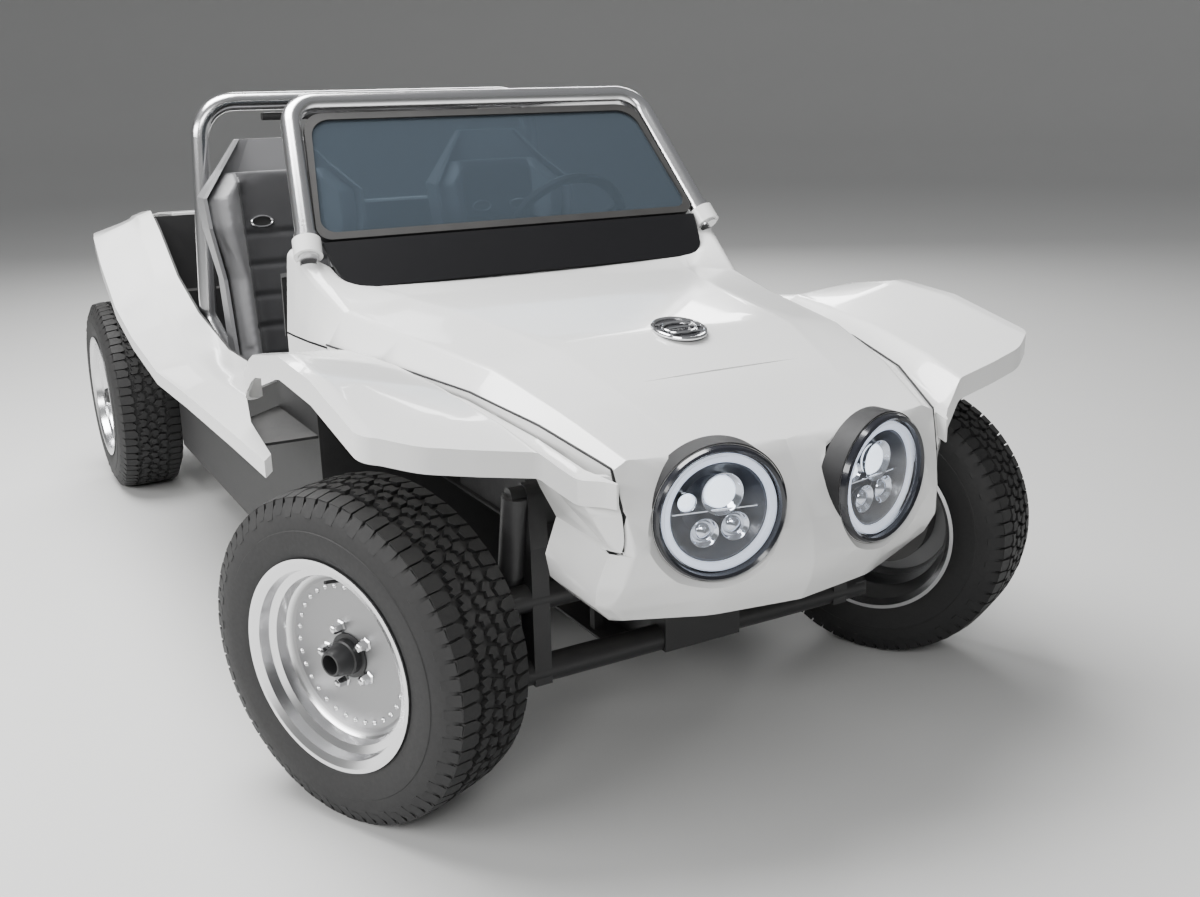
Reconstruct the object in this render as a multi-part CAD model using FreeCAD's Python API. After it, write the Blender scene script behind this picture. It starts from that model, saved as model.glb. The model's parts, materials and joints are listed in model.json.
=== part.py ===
"""Dune buggy: open two-seat fibreglass body on a floorpan with a rear air-cooled flat-four.

Frame: +Z up, ground at z = 0, nose towards -Y, the car's right side towards -X, origin
under the middle of the overall length.  Stations are measured rearward along Y from the
body datum, millimetres.  The front wheels stand steered to the car's left.
"""
import FreeCAD, Part
import math
import os

V = FreeCAD.Vector

doc = FreeCAD.newDocument("dune_buggy")
sheet = doc.addObject("Spreadsheet::Sheet", "Dimensions")

DIMENSIONS = [
    # name, value, meaning
    ("wheelbase", 2370, "front axle line to rear axle line"),
    ("front_station", 30, "front axle line behind the body datum"),
    ("nose_reach", 480, "foremost point ahead of the body datum"),
    ("bumper_reach", 640, "rear bumper's middle line behind the rear axle"),
    ("tyre_radius", 320, "tyre over the tread blocks"),
    ("tyre_width", 214, "tyre section width"),
    ("tyre_bead_radius", 190.3, "tyre bore that seats on the rim"),
    ("tread_width", 186, "flat of the tread"),
    ("rim_lip_radius", 204, "outer edge of the rim lip"),
    ("rim_seat_radius", 190, "rim barrel under the tyre bead"),
    ("rim_depth", 62, "rim lip back to the wheel disc"),
    ("rim_wall", 5, "rim metal thickness"),
    ("stud_circle", 112, "pitch circle of the five wheel studs"),
    ("cap_radius", 33, "wheel centre cap at its foot"),
    ("kingpin_x", 604, "kingpin from the middle plane"),
    ("kingpin_offset", 160, "kingpin to the rim lip plane"),
    ("rear_lip_x", 763, "rear rim lip plane from the middle plane"),
    ("rest_steer", 25.3, "steering angle to the left at rest, degrees"),
    ("drum_radius", 115, "brake drums"),
    ("drum_width", 48, "brake drums"),
    ("skin", 5, "fibreglass wall"),
    ("fender_lip", 44, "height of the front fender's turned-down lip"),
    ("side_lip", 34, "height of the body side's turned-down lip"),
    ("shut_gap", 5, "gap along the hood's shut line"),
    ("hoop_tube", 25, "roll hoop tube radius"),
    ("frame_tube", 22.5, "windscreen frame tube radius"),
    ("glass_thickness", 6, "windscreen glass"),
    ("lamp_radius", 107, "headlight halo ring outer radius"),
    ("lamp_bezel", 120.5, "headlight bezel outer radius"),
    ("lamp_x", 176, "headlight centre from the middle plane"),
    ("lamp_station", -448, "headlight ring plane's centre"),
    ("lamp_height", 624, "headlight centre height"),
    ("lamp_splay", 12, "headlight axis turned outward, degrees"),
    ("pan_height", 200, "underside of the floorpan"),
    ("pan_half_width", 560, "floorpan half width"),
    ("tub_wall", 6, "cockpit tub wall"),
    ("beam_tube", 27, "front axle beam tube radius"),
    ("seat_x", 335, "seat middle plane"),
    ("wheel_grip_radius", 175, "steering wheel to the middle of its grip"),
    ("steering_ratio", 14, "steering wheel turns for each turn of the knuckle"),
]
for row, (name, value, meaning) in enumerate(DIMENSIONS, start=1):
    sheet.set(f"A{row}", name)
    sheet.set(f"B{row}", str(value))
    sheet.set(f"C{row}", meaning)
    sheet.setAlias(f"B{row}", name)
doc.recompute()


def size(name):
    """A driving dimension read back from the spreadsheet."""
    return float(sheet.get(name))


FRONT_AXLE = size("front_station")
REAR_AXLE = FRONT_AXLE + size("wheelbase")
BUMPER_TUBE = 24
TAIL = REAR_AXLE + size("bumper_reach") + BUMPER_TUBE
DATUM_Y = (size("nose_reach") - TAIL) / 2
SKIN = size("skin")
AXLE_Z = size("tyre_radius")


def at(x, station, z):
    """A point of the model from its half-width, station and height."""
    return V(x, DATUM_Y + station, z)


NODES = []


def keep(name, shape, placement=None):
    """Store a finished shape as one named document object."""
    feature = doc.addObject("Part::Feature", name)
    feature.Label = name
    feature.Shape = shape
    if placement:
        feature.Placement = placement
    NODES.append(feature)
    return feature


# ---------------------------------------------------------------- shape helpers
def rounded_edges(points, radii, closed=True, head=None, tail=None):
    """Straight edges through the points with a tangent arc at each corner radius.

    An open run may aim at a head point before its start or a tail point after its end.
    """
    count = len(points)
    edges, ends = [], []
    for i, (point, radius) in enumerate(zip(points, radii)):
        before = head if (head and i == 0) else points[i - 1]
        after = tail if (tail and i == count - 1) else points[(i + 1) % count]
        to_before, to_after = (before - point), (after - point)
        end = (i == 0 and not head) or (i == count - 1 and not tail)
        if radius <= 0 or (not closed and end):
            ends.append((point, None, point))
            continue
        to_before.normalize()
        to_after.normalize()
        half = to_before.getAngle(to_after) / 2
        if half > math.radians(89.9):
            ends.append((point + to_before, point, point + to_after))
            continue
        reach = radius / math.tan(half)
        bisector = (to_before + to_after)
        bisector.normalize()
        middle = point + bisector * (radius / math.sin(half) - radius)
        ends.append((point + to_before * reach, middle, point + to_after * reach))
    for i in range(count):
        start, middle, stop = ends[i]
        if middle and (start + stop - middle * 2).Length < 1e-9:
            edges.append(Part.LineSegment(start, stop).toShape())
        elif middle:
            edges.append(Part.Arc(start, middle, stop).toShape())
        following = ends[(i + 1) % count][0]
        if (closed or i < count - 1) and (following - stop).Length > 1e-6:
            edges.append(Part.LineSegment(stop, following).toShape())
    return edges


def outline(points, radii=None, closed=True):
    """A wire of straight runs and tangent corner arcs."""
    return Part.Wire(rounded_edges(points, radii or [0] * len(points), closed))


def prism(points, direction, radii=None):
    """The solid swept by a closed outline moved along a direction."""
    return Part.Face(outline(points, radii)).extrude(direction)


def loft(wires, ruled=False):
    return Part.makeLoft(wires, True, ruled)


def block(x, station, z, dx, dy, dz):
    """A box by its lowest corner and its sizes."""
    return Part.makeBox(dx, dy, dz, at(x, station, z))


def rod(start, stop, radius):
    """A round bar between two points."""
    return Part.makeCylinder(radius, (stop - start).Length, start, stop - start)


def tube(points, radii, radius):
    """A round tube along straight runs and tangent bends."""
    path = outline(points, radii, closed=False)
    profile = Part.Wire(Part.makeCircle(radius, points[0], points[1] - points[0]))
    return path.makePipeShell([profile], True, True)


def mirrored(shape):
    return shape.mirror(V(0, 0, 0), V(1, 0, 0))


def both(shape):
    return [shape, mirrored(shape)]


def fuse(shapes):
    return shapes[0].multiFuse(shapes[1:]) if len(shapes) > 1 else shapes[0]


def turned(profile, axis_start, axis, angle=360):
    """A solid of revolution from a closed profile."""
    return Part.Face(profile).revolve(axis_start, axis, angle)


# ---------------------------------------------------------------- hood and nose
HOOD_FLOOR = 300
HOOD_SECTIONS = [
    # station, middle height, (half-width, height) of: flat's edge, shoulder, seam
    (-560, 640, (190, 645), (322, 650), (348, 640)),
    (-388, 716, (190, 720), (322, 727), (348, 716)),
    (-237, 790, (230, 787), (362, 778), (400, 762)),
    (-49, 853, (260, 845), (396, 824), (443, 787)),
    (250, 878, (300, 870), (452, 846), (505, 797)),
    (460, 889, (360, 884), (500, 868), (542, 796)),
    (560, 893, (400, 900), (526, 928), (556, 796)),
    (640, 896, (425, 925), (545, 985), (562, 795)),
    (700, 898, (430, 935), (547, 992), (564, 795)),
]
SHOULDER_RADIUS = 22
FLAT_RADIUS = 120


def hood_section(station, middle, flat, shoulder, seam, inset=0):
    """Cross-section under the hood skin; inset moves it inside the skin."""
    flat = (flat[0], flat[1] - inset)
    shoulder = (shoulder[0] - inset, shoulder[1] - inset)
    seam = (seam[0] - inset, seam[1])
    half = [(seam[0], HOOD_FLOOR), seam, shoulder, flat]
    left = [at(-x, station, z) for x, z in half]
    right = [at(x, station, z) for x, z in reversed(half)]
    edges = rounded_edges(left, [0, 0, SHOULDER_RADIUS - inset, FLAT_RADIUS], closed=False, tail=right[0])
    other = rounded_edges(right, [FLAT_RADIUS, SHOULDER_RADIUS - inset, 0, 0], closed=False, head=left[-1])
    crown = Part.Arc(edges[-1].Vertexes[-1].Point, at(0, station, middle - inset),
                     other[0].Vertexes[0].Point).toShape()
    floor = Part.LineSegment(right[-1], left[0]).toShape()
    return Part.Wire(edges + [crown] + other + [floor])


hood_mass = loft([hood_section(*row) for row in HOOD_SECTIONS], ruled=True)
hood_inside = loft([hood_section(*row, inset=SKIN) for row in HOOD_SECTIONS], ruled=True)

FASCIA_SECTIONS = [
    # height, keel station, station at the lamps, (half-width, station) of: corner, arch edge
    (800, -330, -345, (348, -350), (412, -330)),
    (731, -385, -395, (348, -386), (410, -345)),
    (690, -408, -424, (345, -400), (406, -352)),
    (640, -440, -446, (340, -415), (386, -378)),
    (580, -472, -462, (333, -430), (356, -392)),
    (515, -482, -462, (345, -415), (380, -385)),
    (470, -470, -445, (350, -385), (372, -362)),
    (430, -446, -420, (316, -358), (334, -344)),
]
HOOD_START = -200
SEAM_FOOT = 572


def fascia_section(height, keel, lamps, corner, arch, back=0):
    """Level section of the nose, open keel forward; back moves it inside the skin."""
    lamp_x = size("lamp_x")
    half = [(arch[0] - back, HOOD_START), (arch[0] - back, arch[1] + back), (corner[0] - back * 0.5, corner[1] + back),
            (lamp_x, lamps + back)]
    points = [at(-x, y, height) for x, y in half] + [at(0, keel + back, height)]
    points += [at(x, y, height) for x, y in reversed(half)]
    return outline(points, [0, 0, 14, 160, 24, 160, 14, 0, 0])


fascia_mass = loft([fascia_section(*row) for row in FASCIA_SECTIONS], ruled=True)
fascia_inside = loft([fascia_section(*row, back=SKIN) for row in FASCIA_SECTIONS], ruled=True)
behind_nose = block(-700, HOOD_START, HOOD_FLOOR, 1400, 900, 900)
chin = block(-450, -600, HOOD_FLOOR, 900, 600 + HOOD_START, SEAM_FOOT - HOOD_FLOOR)


def hood_form(top, nose):
    """The closed form that the hood and nose skin follows."""
    return top.fuse(chin).common(nose.fuse(behind_nose))


def lamp_axis(side):
    splay = math.radians(size("lamp_splay"))
    return V(side * math.sin(splay), -math.cos(splay), -math.sin(math.radians(1.5)))


def lamp_centre(side):
    return at(side * size("lamp_x"), size("lamp_station"), size("lamp_height"))


SCREEN_FOOT = (515, 645, 1005)
SCREEN_TOP = (465, 873, 1286)
screen_rise = (at(*SCREEN_TOP) - at(*SCREEN_FOOT))
screen_slope = math.atan2(screen_rise.y, screen_rise.z)
SCREEN_UP = V(0, math.sin(screen_slope), math.cos(screen_slope))
SCREEN_OUT = V(0, -math.cos(screen_slope), math.sin(screen_slope))


def on_screen(x, height, out=0):
    """A point of the windscreen plane at a height, moved out along its normal."""
    foot = at(0, SCREEN_FOOT[1], SCREEN_FOOT[2])
    point = foot + SCREEN_UP * ((height - SCREEN_FOOT[2]) / SCREEN_UP.z) + SCREEN_OUT * out
    return V(x, point.y, point.z)


SEAM = [(333, -430), (348, -388), (400, -237), (443, -49), (505, 250), (542, 460), (560, 666)]
NOSE_SEAMS = 4


def seam_region(gap, side):
    """The nose's side outboard of the shut line, above the chin piece."""
    low = SEAM_FOOT + gap
    first, last = SEAM[0], SEAM[NOSE_SEAMS - 1]
    line = [(first[0] - 4, first[1] - 90)] + SEAM[:NOSE_SEAMS]
    plan = [at(side * (x + gap), y, low) for x, y in line]
    plan += [at(side * 640, last[1], low), at(side * 640, first[1] - 90, low)]
    return prism(plan, V(0, 0, 850 - low))


SCUTTLE_BACK, HOOD_LOWER = 690, 695
def lamp_cone(side, near_radius, far_radius, near, far):
    """A cone frustum about a headlight's axis between two distances ahead of its face."""
    axis = lamp_axis(side)
    return Part.makeCone(near_radius, far_radius, far - near, lamp_centre(side) + axis * near, axis)


POCKET_DEPTH, POCKET_FLARE = 60, 62
hood_outer = hood_form(hood_mass, fascia_mass)
hood_inner = hood_form(hood_inside, fascia_inside)
for side in (-1, 1):
    rim = size("lamp_bezel") + 1
    pocket = lamp_cone(side, rim, rim + POCKET_FLARE, -2, POCKET_DEPTH)
    backing = lamp_cone(side, rim + SKIN, rim + SKIN + POCKET_FLARE, -2 - SKIN, POCKET_DEPTH - SKIN)
    hood_outer = hood_outer.cut(pocket)
    hood_inner = hood_inner.cut(backing)
hood_shell = hood_outer.cut(hood_inner).cut(seam_region(0, -1)).cut(seam_region(0, 1))
hood_shell = hood_shell.cut(block(-900, HOOD_START, HOOD_FLOOR - 10, 1800, 900, HOOD_LOWER - HOOD_FLOOR + 10))
hood_shell = hood_shell.cut(block(-900, SCUTTLE_BACK, HOOD_FLOOR, 1800, 300, 900))
SCUTTLE_SEAM, SCUTTLE_START = 790, 466
scuttle_low = hood_shell.common(block(-900, SCUTTLE_START + 4, HOOD_FLOOR, 900, 300, SCUTTLE_SEAM - HOOD_FLOOR))
hood_shell = hood_shell.cut(block(-900, SCUTTLE_START, HOOD_FLOOR, 1800, 300,
                                  SCUTTLE_SEAM + size("shut_gap") - HOOD_FLOOR))
band_opening = prism([on_screen(-466.3, 893.7, 60), on_screen(466.3, 893.7, 60), on_screen(510.6, 1100, 60),
                      on_screen(-510.6, 1100, 60)], SCREEN_OUT * -400, [58.2, 58.2, 0, 0])
behind_screen = prism([on_screen(-500, 600, -14), on_screen(500, 600, -14),
                       on_screen(500, 1300, -14), on_screen(-500, 1300, -14)], SCREEN_OUT * -600)
hood_shell = hood_shell.cut(band_opening).cut(behind_screen)
LEG_FOOT, LEG_X = 962, 524


def leg_point(side, height):
    """A point on the middle line of the screen frame's leg."""
    return on_screen(side * (LEG_X - (LEG_X - SCREEN_TOP[0]) * (height - LEG_FOOT) / (SCREEN_TOP[2] - LEG_FOOT)), height)


SOCKET_TOP, COLLAR_TOP, SOCKET_WALL = 998, 1010, 9
BUCKET_DEPTH = 45
for side in (-1, 1):
    leg = rod(leg_point(side, LEG_FOOT - 6), leg_point(side, COLLAR_TOP), size("frame_tube") + 0.5)
    socket = rod(leg_point(side, LEG_FOOT + 4), leg_point(side, SOCKET_TOP), size("frame_tube") + SOCKET_WALL)
    hood_shell = hood_shell.fuse(socket)
    bucket = lamp_cone(side, size("lamp_bezel") + 0.9, size("lamp_bezel") + 1, -BUCKET_DEPTH, -2.5)
    bore = lamp_cone(side, size("lamp_bezel") - 5.8, size("lamp_bezel") - 5.7, -60, 10)
    hood_shell = hood_shell.fuse(bucket).cut(leg).cut(bore)
keep("hood_panel", hood_shell)

# ---------------------------------------------------------------- front fenders
FENDER_FLOOR = 300
FENDER_SECTIONS = [
    # station, (half-width, height) of: seam, valley, crest, plateau's edge; outer height
    (-420, (330, 700), (400, 700), (455, 738), (690, 772), 772),
    (-345, (352, 712), (405, 702), (460, 752), (700, 786), 786),
    (-237, (392, 745), (425, 730), (475, 778), (705, 808), 806),
    (-49, (436, 776), (462, 768), (500, 805), (708, 850), 848),
    (120, (470, 786), (492, 782), (520, 818), (712, 862), 860),
    (280, (500, 790), (520, 788), (548, 822), (724, 836), 832),
    (400, (520, 790), (545, 788), (580, 806), (734, 782), 776),
    (470, (530, 788), (560, 780), (600, 786), (738, 732), 726),
]


def fender_section(station, seam, valley, crest, plateau, outer_height):
    outer = 800
    points = [at(-200, station, FENDER_FLOOR), at(-200, station, seam[1]), at(-seam[0], station, seam[1]),
              at(-valley[0], station, valley[1]), at(-crest[0], station, crest[1]),
              at(-plateau[0], station, plateau[1]), at(-outer, station, outer_height),
              at(-outer, station, FENDER_FLOOR)]
    return outline(points, [0, 0, 0, 26, 24, 60, 0, 0])


fender_mass = loft([fender_section(*row) for row in FENDER_SECTIONS], ruled=True)
FENDER_OUTER = [(729, -266), (650, -318), (560, -334), (460, -346), (405, -372), (372, -402)]
FENDER_REAR = [(745, 310), (730, 441), (640, 520)]


def fender_plan(inset):
    """The fender's plan outline, its free edges moved in by an inset."""
    seam_gap = size("shut_gap")
    seam = [at(-(x + seam_gap + inset), y, FENDER_FLOOR) for x, y in SEAM[1:-1]]
    seam[0] = at(-(SEAM[1][0] + seam_gap + inset), SEAM[1][1] - 40 + inset, FENDER_FLOOR)
    seam.append(at(-(SEAM[-2][0] - SKIN + 1 + inset), SEAM[-2][1] + 6, FENDER_FLOOR))
    seam.append(at(-(SEAM[-1][0] - SKIN + 1 + inset), SEAM[-1][1], FENDER_FLOOR))
    outer = [at(-(x - inset), y + inset, FENDER_FLOOR) for x, y in reversed(FENDER_OUTER)]
    rear = [at(-(x - inset), y - inset, FENDER_FLOOR) for x, y in FENDER_REAR]
    points = seam[::-1] + outer + rear
    radii = ([0] * len(seam)) + [0, 10, 80, 120, 120, 45] + [90, 60, 60]
    return outline(points, radii)


fender_outer = fender_mass.common(Part.Face(fender_plan(0)).extrude(V(0, 0, 900)))
inner_top = fender_mass.copy()
inner_top.translate(V(0, 0, -SKIN))
fender_inner = inner_top.common(Part.Face(fender_plan(SKIN)).extrude(V(0, 0, 900)))
lip_cut = fender_mass.copy()
lip_cut.translate(V(0, 0, -size("fender_lip")))
fender = fender_outer.cut(fender_inner).cut(lip_cut)
cheek = fascia_mass.cut(fascia_inside).common(seam_region(size("shut_gap"), -1)).common(fender_mass)
fender = fender.fuse(cheek)
ahead_of_scuttle = block(-900, HOOD_START, HOOD_FLOOR, 900, SCUTTLE_START + 2 - HOOD_START, 900)
beside_hood = hood_outer.copy()
beside_hood.translate(V(-0.4, 0, 0.4))
fender = fender.cut(beside_hood.common(ahead_of_scuttle)).cut(hood_outer.common(ahead_of_scuttle))
SPACERS = [(-120, 742), (150, 748), (400, 752)]
for station, low in SPACERS:
    spacer = block(-620, station, low, 270, 40, 16).cut(hood_outer).cut(fender_outer)
    fender = fender.fuse(spacer)
fender = fender.fuse(scuttle_low)
keep("front_fender_right", fender)
keep("front_fender_left", mirrored(fender))

# ---------------------------------------------------------------- body sides
SIDE_FLOOR = 380
TUB_X = 576
RAIL_X = TUB_X + 0.3
SIDE_SECTIONS = [
    # station, (half-width, height) of: outer crease, groove, inner rail
    (240, (752, 636), (736, 650), (726, 654)),
    (470, (757, 640), (706, 660), (RAIL_X, 668)),
    (900, (762, 636), (690, 652), (RAIL_X, 658)),
    (1236, (765, 626), (683, 645), (RAIL_X, 652)),
    (1571, (764, 660), (668, 690), (RAIL_X, 702)),
    (1817, (763, 710), (650, 760), (RAIL_X, 777)),
    (2018, (761, 815), (638, 880), (RAIL_X, 895)),
    (2130, (756, 882), (628, 934), (RAIL_X, 948)),
    (2300, (732, 882), (606, 922), (558, 934)),
    (2534, (702, 850), (580, 900), (536, 912)),
    (2660, (684, 815), (560, 868), (520, 880)),
]
STEP = 9
ARCH_CUT = [(240, 738), (470, 716), (700, 668), (775, RAIL_X)]


def side_section(station, outer, groove, rail):
    """The pontoon's section: outer band, groove step, inner band, rail."""
    points = [at(-outer[0] - 60, station, SIDE_FLOOR), at(-outer[0] - 60, station, outer[1] - 4),
              at(-outer[0], station, outer[1]), at(-groove[0], station, groove[1]),
              at(-groove[0] + STEP, station, groove[1] + STEP), at(-rail[0], station, rail[1] + STEP),
              at(-rail[0] + 70, station, rail[1] + STEP), at(-rail[0] + 70, station, SIDE_FLOOR)]
    return outline(points, [0, 0, 14, 0, 0, 0, 0, 0])


side_mass = loft([side_section(*row) for row in SIDE_SECTIONS], ruled=True)


def side_plan(inset):
    outer = [at(-(row[1][0] - inset), row[0], SIDE_FLOOR) for row in SIDE_SECTIONS]
    inner = ARCH_CUT + [(row[0], row[3][0]) for row in SIDE_SECTIONS if row[0] > ARCH_CUT[-1][0]]
    rail = [at(-x, y, SIDE_FLOOR) for y, x in inner]
    rail[0] = rail[0] + V(0, inset, 0)
    outer[0] = outer[0] + V(0, inset, 0)
    outer[-1] = outer[-1] - V(0, inset, 0)
    rail[-1] = rail[-1] - V(0, inset, 0)
    return outline(outer + rail[::-1])


side_outer = side_mass.common(Part.Face(side_plan(0)).extrude(V(0, 0, 900)))
inner_top = side_mass.copy()
inner_top.translate(V(0, 0, -SKIN))
side_inner = inner_top.common(Part.Face(side_plan(SKIN)).extrude(V(0, 0, 900)))
lip_cut = side_mass.copy()
lip_cut.translate(V(0, 0, -size("side_lip")))
side_shell = side_outer.cut(side_inner).cut(lip_cut)
keep("body_side_right", side_shell)
keep("body_side_left", mirrored(side_shell))

# ---------------------------------------------------------------- cockpit tub, deck
TUB_FRONT, BULKHEAD = 470, 2096
RAIL_SIDE = [(row[0], row[3][1] + STEP) for row in SIDE_SECTIONS[1:7]] + [(BULKHEAD, 941)]
ARCH_FRONT, ARCH_TOP = 2040, 700
FLOOR = size("pan_height") + 5.5
tub_wall = size("tub_wall")
tub_profile = ([at(-TUB_X, 470, FLOOR)] + [at(-TUB_X, y, z) for y, z in RAIL_SIDE]
               + [at(-TUB_X, BULKHEAD, ARCH_TOP), at(-TUB_X, ARCH_FRONT, ARCH_TOP), at(-TUB_X, ARCH_FRONT, FLOOR)])
side_wall = prism(tub_profile, V(tub_wall, 0, 0))
tub_floor = block(-TUB_X, TUB_FRONT, FLOOR, 2 * TUB_X, ARCH_FRONT - TUB_FRONT, tub_wall)
toe_low = block(-TUB_X, TUB_FRONT, FLOOR, 2 * TUB_X, tub_wall, HOOD_LOWER - FLOOR)
toe_high = block(-TUB_X, TUB_FRONT, HOOD_LOWER, 2 * TUB_X, tub_wall, 110).common(hood_inner)
toe_board = toe_low.fuse(toe_high)
rear_wall = fuse([block(-TUB_X, BULKHEAD - tub_wall, ARCH_TOP, 2 * TUB_X, tub_wall, 941 - ARCH_TOP),
                  block(-TUB_X, ARCH_FRONT - tub_wall, ARCH_TOP, 2 * TUB_X, BULKHEAD - ARCH_FRONT + tub_wall, tub_wall),
                  block(-TUB_X, ARCH_FRONT - tub_wall, FLOOR, 2 * TUB_X, tub_wall, ARCH_TOP + tub_wall - FLOOR)])
TANK_FLOOR, TANK_FRONT = 470, 60
tank_tray = block(-300, TANK_FRONT, TANK_FLOOR - tub_wall, 600, 470 - TANK_FRONT, tub_wall)
tray_legs = [block(s * 130 - 10, TANK_FRONT, FLOOR, 20, 20, TANK_FLOOR - FLOOR) for s in (-1, 1)]
arch_liner = [prism([at(s * x, y, 598) for x, y in [(TUB_X - 2, 476), (TUB_X - 2, 790), (664, 712), (710, 480)]],
                    V(0, 0, tub_wall)) for s in (-1, 1)]
tunnel_room = block(-86, TUB_FRONT - 1, FLOOR - 1, 172, ARCH_FRONT + 2 - TUB_FRONT, 126)
keep("front_bulkhead", fuse([toe_board, tank_tray] + tray_legs).cut(tunnel_room))
bulkhead_room = block(-TUB_X - 1, TUB_FRONT - 1, FLOOR - 1, 2 * TUB_X + 2, tub_wall + 1.2, 900)
tub = fuse(arch_liner + [side_wall, mirrored(side_wall), tub_floor, rear_wall])
keep("cockpit_tub", tub.cut(tunnel_room).cut(bulkhead_room))

DECK = [(BULKHEAD + 2, 950), (2300, 936), (2500, 912), (2600, 880), (2660, 820), (2668, 700)]
deck_top = [at(-519, y, z) for y, z in DECK]
deck_bottom = [p + V(0, -SKIN * 0.4, -SKIN) for p in deck_top[::-1]]
deck = prism(deck_top + deck_bottom, V(1038, 0, 0))
front_lip = block(-519, BULKHEAD, 900, 1038, SKIN, 48)
engine_notch = block(-335, 2640, 690, 670, 60, 112)
keep("rear_deck", deck.fuse(front_lip).cut(engine_notch))

# ---------------------------------------------------------------- windscreen
BAND_TOP = 987
band = prism([on_screen(-466, 894, 10), on_screen(466, 894, 10), on_screen(486, BAND_TOP, 10),
              on_screen(-486, BAND_TOP, 10)], SCREEN_OUT * -10, [58, 58, 0, 0])
keep("cowl_band", band)
TUBE = size("frame_tube")
screen_points = [leg_point(-1, LEG_FOOT), leg_point(-1, SCREEN_TOP[2]), leg_point(1, SCREEN_TOP[2]), leg_point(1, LEG_FOOT)]
screen_tube = tube(screen_points, [0, 72, 72, 0], TUBE)
collars = [rod(leg_point(s, SOCKET_TOP + 2), leg_point(s, COLLAR_TOP), TUBE + 3) for s in (-1, 1)]
keep("windscreen_frame", fuse([screen_tube] + collars))


def screen_outline(low, high, grow, out):
    x_low = 530 - 65 * (low - 930) / 356 - TUBE - 0.5 + grow
    x_high = 465 - TUBE - 0.5 + grow
    return outline([on_screen(-x_low, low - grow, out), on_screen(x_low, low - grow, out),
                    on_screen(x_high, high + grow, out), on_screen(-x_high, high + grow, out)],
                   [30, 30, 55, 55])


GLASS_TOP = 1286 - TUBE - 6
gasket_outer = Part.Face(screen_outline(BAND_TOP + 6, GLASS_TOP, 0, 8)).extrude(SCREEN_OUT * -16)
gasket_hole = Part.Face(screen_outline(BAND_TOP + 6, GLASS_TOP, -14, 20)).extrude(SCREEN_OUT * -40)
glass_half = size("glass_thickness") / 2
glass = Part.Face(screen_outline(BAND_TOP + 6, GLASS_TOP, -8, glass_half)).extrude(SCREEN_OUT * -2 * glass_half)
keep("windscreen_gasket", gasket_outer.cut(gasket_hole).cut(glass))
keep("windscreen_glass", glass)

dash_profile = [on_screen(0, 960, -36), at(0, 830, 905), at(0, 838, 760), at(0, 760, 700), at(0, 700, 700)]
dashboard = prism([p + V(-545, 0, 0) for p in dash_profile], V(1090, 0, 0)).common(hood_inner.fuse(
    block(-530, SCUTTLE_BACK, 600, 1060, 300, 500)))
COLUMN_LOW, COLUMN_HIGH = at(335, 480, 640), at(335, 1010, 900)
column_axis = COLUMN_HIGH - COLUMN_LOW
column_axis.normalize()
DASH_SKIN = 8
under_dash = prism([p + V(-545 + DASH_SKIN, -DASH_SKIN, -DASH_SKIN) for p in dash_profile], V(1090 - 2 * DASH_SKIN, 0, 0))
keep("dashboard", dashboard.cut(under_dash).cut(rod(COLUMN_LOW, COLUMN_HIGH, 19.3)))

# ---------------------------------------------------------------- roll hoop
HOOP = size("hoop_tube")
HOOP_STATION, HOOP_TOP, HOOP_X, HOOP_FOOT_X = 1606, 1288, 505, 542
hoop_points = [at(-500, 1540, FLOOR + tub_wall + 0.2), at(-500, 1540, 560), at(-HOOP_FOOT_X, HOOP_STATION, 690),
               at(-HOOP_X, HOOP_STATION, HOOP_TOP), at(HOOP_X, HOOP_STATION, HOOP_TOP),
               at(HOOP_FOOT_X, HOOP_STATION, 690), at(500, 1540, 560), at(500, 1540, FLOOR + tub_wall + 0.2)]
keep("roll_hoop", tube(hoop_points, [0, 60, 60, 100, 100, 60, 60, 0], HOOP))
BAR_HALF, BAR_R, BAR_DROP = 334, 11, 18
bar_z = HOOP_TOP - HOOP - BAR_DROP
bar = rod(at(-BAR_HALF, HOOP_STATION, bar_z), at(BAR_HALF, HOOP_STATION, bar_z), BAR_R)
posts = [rod(at(s * 250, HOOP_STATION, bar_z), at(s * 250, HOOP_STATION, HOOP_TOP), 7) for s in (-1, 0, 1)]
keep("hoop_bar", fuse([bar] + posts).cut(doc.getObject("roll_hoop").Shape))

# ---------------------------------------------------------------- seats
seat_x = size("seat_x")
SHELL = 10
BACK_SECTIONS = [
    # height, station of the back, half-width, how far the side wings reach forward
    (240, 1425, 205, 120),
    (420, 1440, 222, 170),
    (620, 1468, 196, 110),
    (820, 1500, 196, 90),
    (960, 1524, 222, 120),
    (1040, 1538, 224, 110),
    (1110, 1552, 160, 60),
    (1187, 1568, 96, 30),
]
PAN_SECTIONS = [
    # station, height of the pan, half-width, how far the side wings rise
    (985, 330, 205, 70),
    (1040, 300, 212, 115),
    (1250, 262, 216, 150),
    (1420, 246, 205, 150),
]


def seat_channel(middle, half, reach, wall, upward):
    """A shallow U outline about a middle point, its wings reaching forward or up."""
    forward = V(0, 0, 1) if upward else V(0, -1, 0)
    outer = [(-half, reach), (-half, 0.3 * reach), (-half * 0.62, 0), (half * 0.62, 0), (half, 0.3 * reach), (half, reach)]
    inner = [(half - wall, reach), (half - wall, 0.3 * reach + wall * 0.6), (half * 0.58, wall),
             (-half * 0.58, wall), (-half + wall, 0.3 * reach + wall * 0.6), (-half + wall, reach)]
    return outline([middle + V(x, 0, 0) + forward * d for x, d in outer + inner])


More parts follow.
